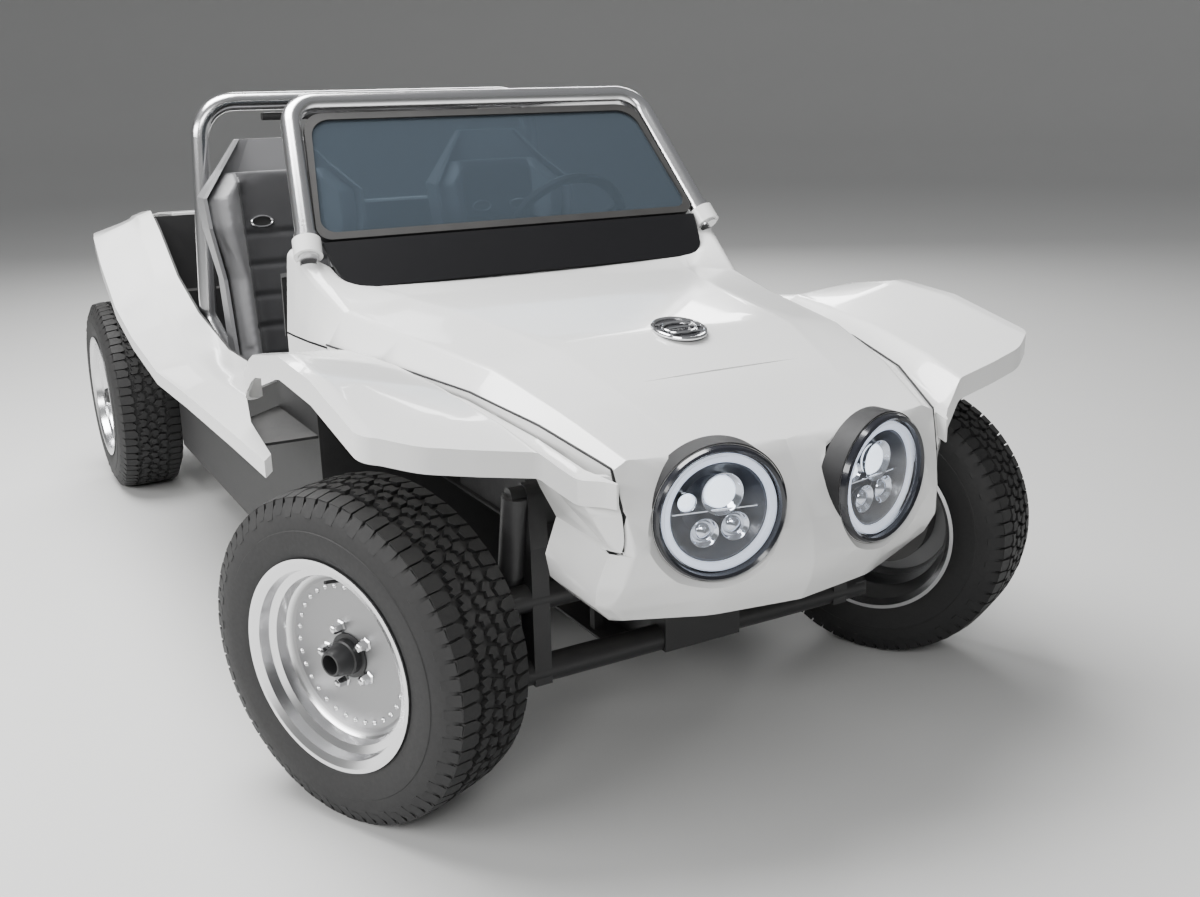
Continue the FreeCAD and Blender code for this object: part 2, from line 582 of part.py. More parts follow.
def seat_shell(x):
    """One bucket: a back and a pan, each a lofted channel, on two runners."""
    back = loft([seat_channel(at(x, y, z), half, reach, SHELL, False) for z, y, half, reach in BACK_SECTIONS], ruled=True)
    pan = loft([seat_channel(at(x, y, z), half, reach, SHELL, True) for y, z, half, reach in PAN_SECTIONS], ruled=True)
    runners = [block(x + s * 110 - 14, 1060, FLOOR + tub_wall + 0.2, 28, 330, 300 - FLOOR - tub_wall) for s in (-1, 1)]
    pan_form = [at(x - 300, 900, 600), at(x - 300, 900, 200), at(x - 300, 985, 333), at(x - 300, 1040, 303),
                at(x - 300, 1250, 265), at(x - 300, 1500, 244), at(x - 300, 1500, 600)]
    above_pan = prism(pan_form, V(600, 0, 0))
    return fuse([back, pan] + [runner.cut(above_pan) for runner in runners])


def pad_section(middle, half, reach, upward):
    """The cushion's outline inside a bucket's channel."""
    forward = V(0, 0, 1) if upward else V(0, -1, 0)
    thick = SHELL + 46
    side = half - SHELL - 1
    points = [(-half * 0.57, SHELL + 0.3), (half * 0.57, SHELL + 0.3), (side, 0.3 * reach + SHELL), (side, 0.8 * reach),
              (half * 0.66, 0.85 * reach + 8), (half * 0.5, thick), (-half * 0.5, thick),
              (-half * 0.66, 0.85 * reach + 8), (-side, 0.8 * reach), (-side, 0.3 * reach + SHELL)]
    return outline([middle + V(x, 0, 0) + forward * d for x, d in points])


def seat_pad(x, shell):
    """Back and seat cushion of one bucket, clear of its shell."""
    back = loft([pad_section(at(x, y, z), half, reach, False) for z, y, half, reach in BACK_SECTIONS[1:-1]], ruled=True)
    pan = loft([pad_section(at(x, y, z), half, reach, True) for y, z, half, reach in PAN_SECTIONS[:-1]], ruled=True)
    bridge = block(x - 100, 1200, 320, 200, 190, 66)
    pad = fuse([back, pan, bridge]).cut(shell)
    return [solid for solid in pad.Solids if solid.Volume > 1e6]


seat_shells = [seat_shell(x) for x in (-seat_x, seat_x)]
seat_pads = [pad for x, shell in zip((-seat_x, seat_x), seat_shells) for pad in seat_pad(x, shell)]
keep("seat_shells", Part.makeCompound(seat_shells))
keep("seat_pads", Part.makeCompound(seat_pads))

# ---------------------------------------------------------------- lamps
def lamp_ring(side, outer, inner, depth, lift):
    """A ring about a headlight's axis, standing out from its plane by lift."""
    axis = lamp_axis(side)
    start = lamp_centre(side) + axis * lift
    ring = Part.makeCylinder(outer, depth, start - axis * depth, axis)
    return ring.cut(Part.makeCylinder(inner, depth + 2, start - axis * (depth + 1), axis))


def lamp_turned(side, profile):
    """A ring or bowl turned about a headlight's axis from (ahead, radius) pairs."""
    axis, centre = lamp_axis(side), lamp_centre(side)
    across = V(axis.y, -axis.x, 0)
    across.normalize()
    return turned(outline([centre + axis * ahead + across * radius for ahead, radius in profile]), centre, axis)


LENS_CROWN, LENS_SEAT = 24, -6
bezels, lenses = [], []
for side in (-1, 1):
    ring, halo = size("lamp_bezel"), size("lamp_radius")
    profile = [(-1.7, ring - 0.4), (8, ring - 3), (12, ring - 7), (8, halo + 2), (LENS_SEAT, halo), (LENS_SEAT, halo - 6),
               (-22, halo - 10), (-50, halo - 30), (-56, 40), (-56, 0), (-62, 0), (-62, 44), (-56, halo - 24),
               (-26, halo - 4.5), (-8, ring - 6.1), (-1.7, ring - 6.1)]
    bezels.append(lamp_turned(side, profile))
    dome = lamp_turned(side, [(LENS_CROWN, 0), (LENS_CROWN * 0.76, halo * 0.5), (4, halo - 6),
                              (LENS_SEAT + 5, halo - 0.5), (LENS_SEAT + 0.3, halo - 0.5), (LENS_SEAT + 0.3, 0)])
    lenses.append(dome)
keep("headlight_bezels", Part.makeCompound(bezels))
keep("headlight_lenses", Part.makeCompound(lenses))
tail_lamps = [rod(at(s * 400, 2664.2, 760), at(s * 400, 2690, 761.7), 45) for s in (-1, 1)]
keep("tail_lamps", Part.makeCompound(tail_lamps))

# ---------------------------------------------------------------- pan and running gear
PAN = size("pan_height")
BEAM_STATION = FRONT_AXLE - 140
HEAD_FRONT = BEAM_STATION + size("beam_tube") + 0.3
pan_outline = [at(-150, HEAD_FRONT, PAN), at(150, HEAD_FRONT, PAN), at(150, 420, PAN), at(560, 560, PAN),
               at(560, 2030, PAN), at(200, 2160, PAN), at(-200, 2160, PAN), at(-560, 2030, PAN), at(-560, 560, PAN),
               at(-150, 420, PAN)]
pan = prism(pan_outline, V(0, 0, 5.5))
tunnel = prism([at(-85, HEAD_FRONT, PAN), at(85, HEAD_FRONT, PAN), at(60, HEAD_FRONT, PAN + 130),
                at(-60, HEAD_FRONT, PAN + 130)], V(0, 2180 - HEAD_FRONT, 0))
TORSION_STATION, TORSION_Z, TORSION_R = REAR_AXLE - 265, 300, 52
BELL_STATION = REAR_AXLE + 120
torsion = rod(at(-500, TORSION_STATION, TORSION_Z), at(500, TORSION_STATION, TORSION_Z), TORSION_R)
SHOCK_TOP_STATION, SHOCK_TOP_Z = TORSION_STATION + 180, 605
TOWER_IN, TOWER_OUT, SHOCK_X = 436, 452, 482
tower_side = [at(0, TORSION_STATION - 20, TORSION_Z), at(0, TORSION_STATION + 45, TORSION_Z),
              at(0, SHOCK_TOP_STATION + 22, SHOCK_TOP_Z - 20), at(0, SHOCK_TOP_STATION + 22, SHOCK_TOP_Z + 22),
              at(0, SHOCK_TOP_STATION - 22, SHOCK_TOP_Z + 22)]
towers = [prism([p + V(s * TOWER_IN, 0, 0) for p in tower_side], V(s * (TOWER_OUT - TOWER_IN), 0, 0), [0, 0, 12, 18, 18])
          for s in (-1, 1)]
keep("chassis_pan", fuse([pan, tunnel, torsion] + towers))
BEAM = size("beam_tube")
BEAM_LOW, BEAM_HIGH = AXLE_Z - 75, AXLE_Z + 75
BOSS = 14
kx = size("kingpin_x")
LINK_X = 470
DAMPER_TOP = 600


def damper(top, foot, top_pin, foot_pin):
    """A telescopic shock absorber: eyes on their pins, rod, dust tube and body."""
    way = foot - top
    half = top + way * 0.48
    across = V(1 if foot.x > 0 else -1, 0, 0)
    eyes = [rod(point - across * 15, point + across * 15, 17) for point in (top, foot)]
    pins = [rod(top_pin, top, 9), rod(foot, foot_pin, 9)]
    return eyes + pins + [rod(top, half, 26), rod(half - way * 0.02, foot, 21)]


beam_parts = [rod(at(-430, BEAM_STATION, z), at(430, BEAM_STATION, z), BEAM) for z in (BEAM_LOW, BEAM_HIGH)]
beam_parts += [block(-90, BEAM_STATION - 30, 223, 180, 57, 204)]
for side in (-1, 1):
    upright = [at(side * 342, y, z) for y, z in [(BEAM_STATION - 26, BEAM_LOW - 22), (BEAM_STATION + 26, BEAM_LOW - 22),
                                                 (BEAM_STATION + 26, 500), (BEAM_STATION + 20, DAMPER_TOP + 20),
                                                 (BEAM_STATION - 20, DAMPER_TOP + 20), (BEAM_STATION - 26, 500)]]
    beam_parts.append(prism(upright, V(side * 36, 0, 0), [0, 0, 30, 16, 16, 30]))
    beam_parts += damper(at(side * 392, BEAM_STATION, DAMPER_TOP), at(side * 400, BEAM_STATION + 50, BEAM_LOW + 20),
                         at(side * 378, BEAM_STATION, DAMPER_TOP), at(side * 432, BEAM_STATION + 50, BEAM_LOW + 20))
    for z in (BEAM_LOW, BEAM_HIGH):
        arm = [at(side * 405, BEAM_STATION - 24, z - 16), at(side * 435, BEAM_STATION - 24, z - 16),
               at(side * 500, FRONT_AXLE, z - 16), at(side * 500, FRONT_AXLE + 22, z - 16),
               at(side * 462, FRONT_AXLE + 22, z - 16)]
        beam_parts.append(prism(arm, V(0, 0, 32)))
        beam_parts.append(rod(at(side * 465, FRONT_AXLE, z), at(side * kx, FRONT_AXLE, z), 12))
        beam_parts.append(rod(at(side * kx, FRONT_AXLE, z - BOSS), at(side * kx, FRONT_AXLE, z + BOSS), 20))
    beam_parts.append(rod(at(side * kx, FRONT_AXLE, BEAM_LOW), at(side * kx, FRONT_AXLE, BEAM_HIGH), 11))
keep("front_beam", fuse(beam_parts))


def placed_about(axis_point, angle):
    return FreeCAD.Placement(V(0, 0, 0), FreeCAD.Rotation(V(0, 0, 1), angle), axis_point)


def wheel_profile(points, radii=None):
    """A revolve profile from (outward, radius) pairs about the X axis."""
    return outline([V(w, 0, r) for w, r in points], radii)


TYRE_MIDDLE, TYRE_SIDES = 105, 60


def tyre_ring(across, radius):
    """The corners of a many-sided ring about the X axis, at a place across the tyre, the first one repeated."""
    step = 2 * math.pi / TYRE_SIDES
    corners = [V(across, radius * math.sin(step * i), radius * math.cos(step * i)) for i in range(TYRE_SIDES)]
    return corners + corners[:1]


def tyre_shape():
    """Tyre about the X axis, its rim lip plane at x = 0, outboard towards -X."""
    radius, bead = size("tyre_radius"), size("tyre_bead_radius")
    half, tread = size("tyre_width") / 2, size("tread_width") / 2
    bead_half = TYRE_MIDDLE - 8
    one_side = [(bead_half, bead + 14), (half, bead + 58), (tread + 4, radius - 26), (tread - 14, radius)]
    across = [(TYRE_MIDDLE - w, r) for w, r in one_side] + [(TYRE_MIDDLE + w, r) for w, r in reversed(one_side)]
    bore = bead / math.cos(math.pi / TYRE_SIDES)
    across = [(across[0][0], bore)] + across + [(across[-1][0], bore)]
    rings = [tyre_ring(w, r) for w, r in across]
    faces = []
    for near, far in zip(rings, rings[1:] + rings[:1]):
        for i in range(TYRE_SIDES):
            faces.append(Part.Face(Part.makePolygon([near[i], near[i + 1], far[i + 1], far[i], near[i]])))
    solid = Part.Solid(Part.Shell(faces))
    if solid.Volume < 0:
        solid.reverse()
    return solid


def rim_shape():
    seat, lip, depth, wall = (size(n) for n in ("rim_seat_radius", "rim_lip_radius", "rim_depth", "rim_wall"))
    front = [(0, lip), (0, lip - 8), (6, seat - 8), (26, seat - 12), (32, 164), (52, 160), (depth, 146),
             (depth, 0)]
    back = [(depth + 12, 0), (depth + 12, 150), (150, 165), (196, seat - 6), (210, lip - 8), (210, lip),
            (206, lip), (203, seat), (180, seat), (140, 172), (60, 172), (32, seat), (7, seat), (4, lip)]
    return turned(wheel_profile(front + back), V(0, 0, 0), V(1, 0, 0))


def hub_shape():
    """Centre cap and five lug nuts, foot on the disc."""
    depth = size("rim_depth")
    cap_r = size("cap_radius")
    cap = [(depth, 0), (depth, cap_r), (depth - 18, cap_r), (depth - 50, cap_r - 9), (depth - 50, cap_r - 14),
           (depth - 20, cap_r - 10), (depth - 20, 0)]
    cap_solid = turned(wheel_profile(cap), V(0, 0, 0), V(1, 0, 0))
    flange = Part.makeCylinder(size("stud_circle") / 2 + 8, 2, V(depth - 2, 0, 0), V(1, 0, 0))
    nuts = []
    for index in range(5):
        angle = math.radians(72 * index + 18)
        foot = V(depth - 24, size("stud_circle") / 2 * math.cos(angle), size("stud_circle") / 2 * math.sin(angle))
        hexagon = [foot + V(0, 10 * math.cos(math.radians(60 * i)), 10 * math.sin(math.radians(60 * i)))
                   for i in range(6)]
        nuts.append(prism(hexagon, V(24, 0, 0)))
    return fuse([cap_solid, flange] + nuts)


def wheel_place(side, steered):
    """Placement of wheel shapes drawn about X with outboard towards -X."""
    flip = FreeCAD.Rotation(V(0, 0, 1), 180 if side > 0 else 0)
    if not steered:
        lip = at(side * size("rear_lip_x"), REAR_AXLE, AXLE_Z)
        return FreeCAD.Placement(lip, flip)
    turn = FreeCAD.Rotation(V(0, 0, 1), size("rest_steer"))
    kingpin = at(side * kx, FRONT_AXLE, AXLE_Z)
    lip = kingpin + turn.multVec(V(side * size("kingpin_offset"), 0, 0))
    return FreeCAD.Placement(lip, turn.multiply(flip))


WHEELS = [("front_right", -1, True), ("front_left", 1, True), ("rear_right", -1, False), ("rear_left", 1, False)]
for corner, side, steered in WHEELS:
    place = wheel_place(side, steered)
    keep(f"tyre_{corner}", tyre_shape(), place)
    keep(f"rim_{corner}", rim_shape(), place)
    keep(f"hub_{corner}", hub_shape(), place)

# knuckles: backing drum, stub and kingpin link, drawn about X like the wheels
def knuckle_shape():
    """The right knuckle: drum backing, stub, upright and steering arm."""
    depth = size("rim_depth")
    drum = Part.makeCylinder(size("drum_radius"), size("drum_width"), V(depth + 17, 0, 0), V(1, 0, 0))
    stub = Part.makeCylinder(22, 30, V(depth + 12.4, 0, 0), V(1, 0, 0))
    kingpin = size("kingpin_offset")
    spindle = Part.makeCylinder(20, kingpin - depth - 40, V(depth + 40, 0, 0), V(1, 0, 0))
    reach = 75 - BOSS - 0.5
    sleeve = Part.makeCylinder(24, 2 * reach, V(kingpin, 0, -reach), V(0, 0, 1))
    plan = [(kingpin - 20, -14), (kingpin + 14, -14), (kingpin + 92, 30), (kingpin + 92, 150),
            (kingpin + 62, 150), (kingpin + 62, 48), (kingpin - 20, 15)]
    arm = prism([V(x, y, -12) for x, y in plan], V(0, 0, 24))
    pin_hole = Part.makeCylinder(11.06, 200, V(kingpin, 0, -100), V(0, 0, 1))
    return fuse([drum, stub, spindle, sleeve, arm]).cut(pin_hole)


keep("knuckle_right", knuckle_shape(), wheel_place(-1, True))
left_place = wheel_place(1, True)
left_place = FreeCAD.Placement(left_place.Base, FreeCAD.Rotation(V(0, 0, 1), size("rest_steer")))
keep("knuckle_left", mirrored(knuckle_shape()), left_place)
rear_parts = []
SIDE_PLATE_X = 140
for side in (-1, 1):
    x_disc = side * (size("rear_lip_x") - size("rim_depth") - 12.5)
    shock_foot = at(side * SHOCK_X, REAR_AXLE - 20, AXLE_Z + 10)
    shock_top = at(side * SHOCK_X, SHOCK_TOP_STATION, SHOCK_TOP_Z)
    rear_parts.append(fuse([
        rod(at(x_disc - side * 5, REAR_AXLE, AXLE_Z), at(x_disc - side * 65, REAR_AXLE, AXLE_Z), size("drum_radius")),
        rod(at(x_disc, REAR_AXLE, AXLE_Z), at(x_disc - side * 12, REAR_AXLE, AXLE_Z), 30),
        rod(at(x_disc - side * 60, REAR_AXLE, AXLE_Z), at(side * (SIDE_PLATE_X + 0.3), REAR_AXLE, AXLE_Z), 35),
        prism([at(side * 500, TORSION_STATION - 50, 260), at(side * 500, TORSION_STATION - 50, 340),
               at(side * 500, REAR_AXLE + 50, 355), at(side * 500, REAR_AXLE + 50, 285)], V(side * 14, 0, 0),
              [20, 20, 20, 20])]
        + damper(shock_top, shock_foot, at(side * (TOWER_OUT + 0.3), SHOCK_TOP_STATION, SHOCK_TOP_Z),
                 at(side * 505, REAR_AXLE - 20, AXLE_Z + 10))))
keep("rear_arms", Part.makeCompound(rear_parts))

# ---------------------------------------------------------------- flat-four engine
GEARBOX = [
    # station behind the torsion tube's middle, radius
    (TORSION_R + 0.2, 62), (95, 84), (190, 92), (205, 118), (325, 118), (340, 104),
    (BELL_STATION - TORSION_STATION - 25, 165), (BELL_STATION - TORSION_STATION, 165),
]
gearbox_profile = ([at(0, TORSION_STATION + GEARBOX[0][0], AXLE_Z)]
                   + [at(0, TORSION_STATION + y, AXLE_Z + r) for y, r in GEARBOX]
                   + [at(0, TORSION_STATION + GEARBOX[-1][0], AXLE_Z)])
gearbox = turned(outline(gearbox_profile), at(0, 0, AXLE_Z), V(0, 1, 0))
side_plates = rod(at(-SIDE_PLATE_X, REAR_AXLE, AXLE_Z), at(SIDE_PLATE_X, REAR_AXLE, AXLE_Z), 88)
keep("transaxle", gearbox.fuse(side_plates))

CRANK_Z = AXLE_Z + 10
CASE_LENGTH, CASE_TOP = 330, 430
case = prism([at(x, BELL_STATION + 0.3, z) for x, z in [(-100, 238), (-132, 300), (-132, 360), (-75, CASE_TOP),
                                                        (75, CASE_TOP), (132, 360), (132, 300), (100, 238)]],
             V(0, CASE_LENGTH, 0), [18] * 8)
bell_flange = rod(at(0, BELL_STATION + 0.3, CRANK_Z - 10), at(0, BELL_STATION + 20, CRANK_Z - 10), 158)
BARREL_R, BARREL_OUT, FIN_HALF, FIN_THICK = 43, 262, 53, 5
FIRST_FIN, FIN_PITCH, FIN_COUNT = 146, 15, 8
BARREL_STATIONS = (BELL_STATION + 85, BELL_STATION + 200)
HEAD_OUT, COVER_OUT = 318, 350
engine_parts = [case, bell_flange]
for side in (-1, 1):
    for station in BARREL_STATIONS:
        engine_parts.append(rod(at(side * 110, station, CRANK_Z), at(side * (BARREL_OUT + 2), station, CRANK_Z), BARREL_R))
        for index in range(FIN_COUNT):
            x = side * (FIRST_FIN + FIN_PITCH * index)
            corners = [at(x, station + y * FIN_HALF, CRANK_Z + z * FIN_HALF) for y, z in
                       [(-1, -1), (1, -1), (1, 1), (-1, 1)]]
            engine_parts.append(prism(corners, V(side * FIN_THICK, 0, 0)))
    head = [at(side * BARREL_OUT, y, z) for y, z in [(BELL_STATION + 26, 268), (BELL_STATION + 259, 268),
                                                     (BELL_STATION + 259, 392), (BELL_STATION + 26, 392)]]
    cover = [at(side * HEAD_OUT, y, z) for y, z in [(BELL_STATION + 40, 282), (BELL_STATION + 245, 282),
                                                    (BELL_STATION + 245, 378), (BELL_STATION + 40, 378)]]
    engine_parts.append(prism(head, V(side * (HEAD_OUT - BARREL_OUT), 0, 0)))
    engine_parts.append(prism(cover, V(side * (COVER_OUT - HEAD_OUT), 0, 0), [26] * 4))
    tin = [at(side * x, y, 391) for x, y in [(100, BELL_STATION + 18), (336, BELL_STATION + 18),
                                             (336, BELL_STATION + 268), (100, BELL_STATION + 268)]]
    engine_parts.append(prism(tin, V(0, 0, 5)))
    carb_x, carb_y = side * 276, BELL_STATION + 214
    engine_parts += [rod(at(carb_x, carb_y, 392), at(carb_x, carb_y, 470), 24),
                     block(carb_x - 32, carb_y - 30, 450, 64, 60, 74),
                     rod(at(carb_x, carb_y, 522), at(carb_x, carb_y, 532), 52),
                     rod(at(carb_x, carb_y, 531), at(carb_x, carb_y, 584), 44),
                     rod(at(carb_x, carb_y, 583), at(carb_x, carb_y, 593), 52)]
FAN_Z, PULLEY_STATION, PULLEY_WIDTH = 620, BELL_STATION + 336, 16
SHROUD_BACK = BELL_STATION + 160
CRANK_PULLEY_R, FAN_PULLEY_R, GROOVE = 84, 54, 4
engine_parts += [
    rod(at(0, SHROUD_BACK + 0.3, FAN_Z), at(0, BELL_STATION + 292, FAN_Z), 47),
    rod(at(0, BELL_STATION + 290, FAN_Z), at(0, PULLEY_STATION + PULLEY_WIDTH, FAN_Z), 14),
    prism([at(x, BELL_STATION + 190, z) for x, z in [(-46, CASE_TOP - 4), (46, CASE_TOP - 4), (30, FAN_Z - 34), (-30, FAN_Z - 34)]],
          V(0, 66, 0)),
    rod(at(0, BELL_STATION + CASE_LENGTH - 2, CRANK_Z), at(0, PULLEY_STATION + PULLEY_WIDTH + 6, CRANK_Z), 20)]
for z, radius in ((CRANK_Z, CRANK_PULLEY_R), (FAN_Z, FAN_PULLEY_R)):
    for start in (PULLEY_STATION, PULLEY_STATION + PULLEY_WIDTH - 4):
        engine_parts.append(rod(at(0, start, z), at(0, start + 4, z), radius))
    engine_parts.append(rod(at(0, PULLEY_STATION, z), at(0, PULLEY_STATION + PULLEY_WIDTH, z), radius - GROOVE - 4))


def belt_outline(grow):
    """The closed line round both pulleys, moved out by grow."""
    span = FAN_Z - CRANK_Z
    low, high = CRANK_PULLEY_R - GROOVE + grow, FAN_PULLEY_R - GROOVE + grow
    lean = math.asin((low - high) / span)
    right_low, right_high = ((r * math.cos(lean), z + r * math.sin(lean)) for r, z in ((low, CRANK_Z), (high, FAN_Z)))
    y = PULLEY_STATION + 5
    start, stop = at(right_low[0], y, right_low[1]), at(right_high[0], y, right_high[1])
    other_stop, other_start = at(-right_high[0], y, right_high[1]), at(-right_low[0], y, right_low[1])
    return Part.Wire([Part.LineSegment(start, stop).toShape(),
                      Part.Arc(stop, at(0, y, FAN_Z + high), other_stop).toShape(),
                      Part.LineSegment(other_stop, other_start).toShape(),
                      Part.Arc(other_start, at(0, y, CRANK_Z - low), start).toShape()])


belt = Part.Face(belt_outline(3)).extrude(V(0, 6, 0)).cut(Part.Face(belt_outline(-5)).extrude(V(0, 6, 0)))
keep("engine", fuse(engine_parts + [belt]))

SHROUD = [
    # half-width, height, corner radius of the fan housing's outline
    (322, 396.3, 0), (322, 452, 40), (214, 560, 70), (150, 716, 90), (112, 762, 0),
]
shroud_line = [(x, z, r) for x, z, r in SHROUD]
shroud_points = ([(x, z) for x, z, r in shroud_line] + [(-x, z) for x, z, r in reversed(shroud_line)]
                 + [(-140, 396.3), (-140, CASE_TOP + 2), (140, CASE_TOP + 2), (140, 396.3)])
shroud_radii = ([r for x, z, r in shroud_line] + [r for x, z, r in reversed(shroud_line)] + [0, 0, 0, 0])
SHROUD_FRONT = BELL_STATION + 42
housing = prism([at(x, SHROUD_FRONT, z) for x, z in shroud_points], V(0, 106, 0), shroud_radii)
fan_ring = rod(at(0, SHROUD_FRONT + 100, FAN_Z), at(0, SHROUD_BACK, FAN_Z), 112)
inlet = rod(at(0, SHROUD_FRONT - 10, FAN_Z), at(0, SHROUD_FRONT + 2, FAN_Z), 100)
inlet_mouth = rod(at(0, SHROUD_FRONT - 12, FAN_Z), at(0, SHROUD_FRONT + 60, FAN_Z), 92)
fan_boss = rod(at(0, SHROUD_FRONT + 10, FAN_Z), at(0, SHROUD_FRONT + 62, FAN_Z), 34)
vanes = []
for index in range(9):
    turn = FreeCAD.Rotation(V(0, 1, 0), 40 * index)
    vane = [turn.multVec(V(x, 0, z)) for x, z in [(30, -4), (94, 10), (94, 16), (30, 4)]]
    vanes.append(prism([at(0, SHROUD_FRONT + 22, FAN_Z) + p for p in vane], V(0, 39, 0)))
keep("fan_shroud", fuse([housing.fuse(fan_ring).fuse(inlet).cut(inlet_mouth), fan_boss] + vanes))

MUFFLER_STATION, MUFFLER_Z, MUFFLER_R = REAR_AXLE + 545, 260, 60
COLLAR_STATION = MUFFLER_STATION + MUFFLER_R + 3
HEADER_Z, HEADER_R, PORT_X = 222, 19, 290
exhaust_parts = [rod(at(-300, MUFFLER_STATION, MUFFLER_Z), at(300, MUFFLER_STATION, MUFFLER_Z), MUFFLER_R)]
for side in (-1, 1):
    for station in BARREL_STATIONS:
        run = [at(side * PORT_X, station, 267.7), at(side * PORT_X, station, HEADER_Z),
               at(side * PORT_X, MUFFLER_STATION - 20, HEADER_Z)]
        exhaust_parts.append(tube(run, [0, 28, 0], HEADER_R))
    exhaust_parts.append(rod(at(side * 120, MUFFLER_STATION + 50, MUFFLER_Z), at(side * 120, COLLAR_STATION, MUFFLER_Z), 27))
    exhaust_parts.append(rod(at(side * 120, COLLAR_STATION - 4, MUFFLER_Z), at(side * 120, REAR_AXLE + 658, MUFFLER_Z), 22))
keep("exhaust", fuse(exhaust_parts))
bumper_y = REAR_AXLE + size("bumper_reach")
BUMPER_Z = 410
BUMPER_X = 400
bumper_points = [at(-BUMPER_X, TORSION_STATION + 30, BUMPER_Z), at(-BUMPER_X, bumper_y, BUMPER_Z),
                 at(BUMPER_X, bumper_y, BUMPER_Z), at(BUMPER_X, TORSION_STATION + 30, BUMPER_Z)]
guard_points = [at(-240, bumper_y, BUMPER_Z), at(-240, bumper_y, BUMPER_Z + 190), at(240, bumper_y, BUMPER_Z + 190),
                at(240, bumper_y, BUMPER_Z)]
feet = [rod(at(s * BUMPER_X, TORSION_STATION + 30, BUMPER_Z + 24), at(s * BUMPER_X, TORSION_STATION + 30, TORSION_Z + 43),
            BUMPER_TUBE) for s in (-1, 1)]
keep("rear_bumper", fuse([tube(bumper_points, [0, 110, 110, 0], BUMPER_TUBE), tube(guard_points, [0, 60, 60, 0], 19)]
                         + feet).cut(torsion))
keep("fuel_tank", block(-290, TANK_FRONT, TANK_FLOOR, 580, 330, 190))

# ---------------------------------------------------------------- controls
keep("steering_column", rod(COLUMN_LOW + column_axis * 5.5, COLUMN_HIGH, 19))
hub_point = COLUMN_HIGH + column_axis * 0.5
GRIP_R, GRIP_THICK = size("wheel_grip_radius"), 14
grip_middle = hub_point + column_axis * 30
across_axis = V(1, 0, 0)
grip_section = [grip_middle + across_axis * (GRIP_R + GRIP_THICK * math.cos(math.radians(45 * i)))
                + column_axis * (GRIP_THICK * math.sin(math.radians(45 * i))) for i in range(8)]
grip = turned(outline(grip_section), grip_middle, column_axis)
boss = Part.makeCylinder(32, 28, hub_point, column_axis)
spokes = []
for index in range(3):
    turn = FreeCAD.Rotation(column_axis, 120 * index + 90)
    direction = turn.multVec(V(1, 0, 0))
    spokes.append(rod(hub_point + column_axis * 12, hub_point + column_axis * 28 + direction * (GRIP_R - 4), 7))
keep("steering_wheel", fuse([grip, boss] + spokes))
boot = Part.makeCone(46, 14, 60, at(0, 1045, PAN + 130.2), V(0, 0, 1))
lever = fuse([boot, rod(at(0, 1045, 370), at(0, 1010, 620), 8), Part.makeSphere(24, at(0, 1008, 632))])
keep("gear_lever", lever)
keep("hood_medallion", Part.makeCylinder(58, 25, at(0, -49, 835), V(0, -0.2, 1)).cut(hood_mass))

# ---------------------------------------------------------------- write
doc.recompute()
os.makedirs("parts", exist_ok=True)
for node in NODES:
    state = node.State
    shape = node.Shape
    if "Invalid" in state or "Error" in state or shape.isNull() or not shape.isValid():
        raise RuntimeError(f"{node.Label} is not a valid shape")
    shape.exportStep(f"parts/{node.Label}.step")
    box = shape.BoundBox
    print(f"{node.Label:22s} solids {len(shape.Solids)} faces {len(shape.Faces)} volume {shape.Volume / 1e6:.2f} l  "
          f"x {box.XMin:.0f}..{box.XMax:.0f} y {box.YMin:.0f}..{box.YMax:.0f} z {box.ZMin:.0f}..{box.ZMax:.0f}")
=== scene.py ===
"""Dresses the dune buggy: paint, glass, lamps, tyres, wheels, seats, engine bay and studio."""

import json
import math

import bmesh
import bpy
from bpy.props import FloatProperty, FloatVectorProperty, IntProperty, PointerProperty
from mathutils import Matrix, Vector
from mathutils.bvhtree import BVHTree


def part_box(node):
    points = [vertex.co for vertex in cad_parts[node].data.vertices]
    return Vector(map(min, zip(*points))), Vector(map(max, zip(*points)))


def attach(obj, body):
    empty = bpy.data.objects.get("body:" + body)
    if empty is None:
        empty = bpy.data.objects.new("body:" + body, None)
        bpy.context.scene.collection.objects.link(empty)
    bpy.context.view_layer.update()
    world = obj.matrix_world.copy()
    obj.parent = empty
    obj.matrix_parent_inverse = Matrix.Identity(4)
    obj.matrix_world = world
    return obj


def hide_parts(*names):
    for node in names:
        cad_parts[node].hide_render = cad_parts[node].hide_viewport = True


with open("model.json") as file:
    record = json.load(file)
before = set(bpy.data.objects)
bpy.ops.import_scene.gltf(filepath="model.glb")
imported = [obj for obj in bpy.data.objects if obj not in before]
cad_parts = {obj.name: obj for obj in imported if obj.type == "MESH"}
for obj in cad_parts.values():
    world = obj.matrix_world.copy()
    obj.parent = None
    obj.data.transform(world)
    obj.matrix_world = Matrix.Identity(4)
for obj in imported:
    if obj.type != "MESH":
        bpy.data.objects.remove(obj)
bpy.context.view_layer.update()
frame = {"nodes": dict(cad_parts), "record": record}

bl_info = {
    "name": "Dune Buggy Dresser",
    "version": (1, 0, 0),
    "blender": (4, 5, 0),
    "location": "3D View > Sidebar > Buggy",
    "description": "Builds the looks of the open two-seat dune buggy round its CAD frame",
    "category": "Object",
}

NODES = frame["nodes"]

UP, ACROSS, ASTERN = Vector((0, 0, 1)), Vector((1, 0, 0)), Vector((0, 1, 0))
SIDES = ((-1, "right"), (1, "left"))
CORNERS = ("front_right", "front_left", "rear_right", "rear_left")
JOINTS = {joint["name"]: joint for joint in frame["record"]["behaviour"]["joints"]}


def colour(name, text, default):
    """A colour that a user may change, without alpha."""
    return FloatVectorProperty(name=name, description=text, subtype="COLOR", size=3, min=0.0, max=1.0,
                               default=default)


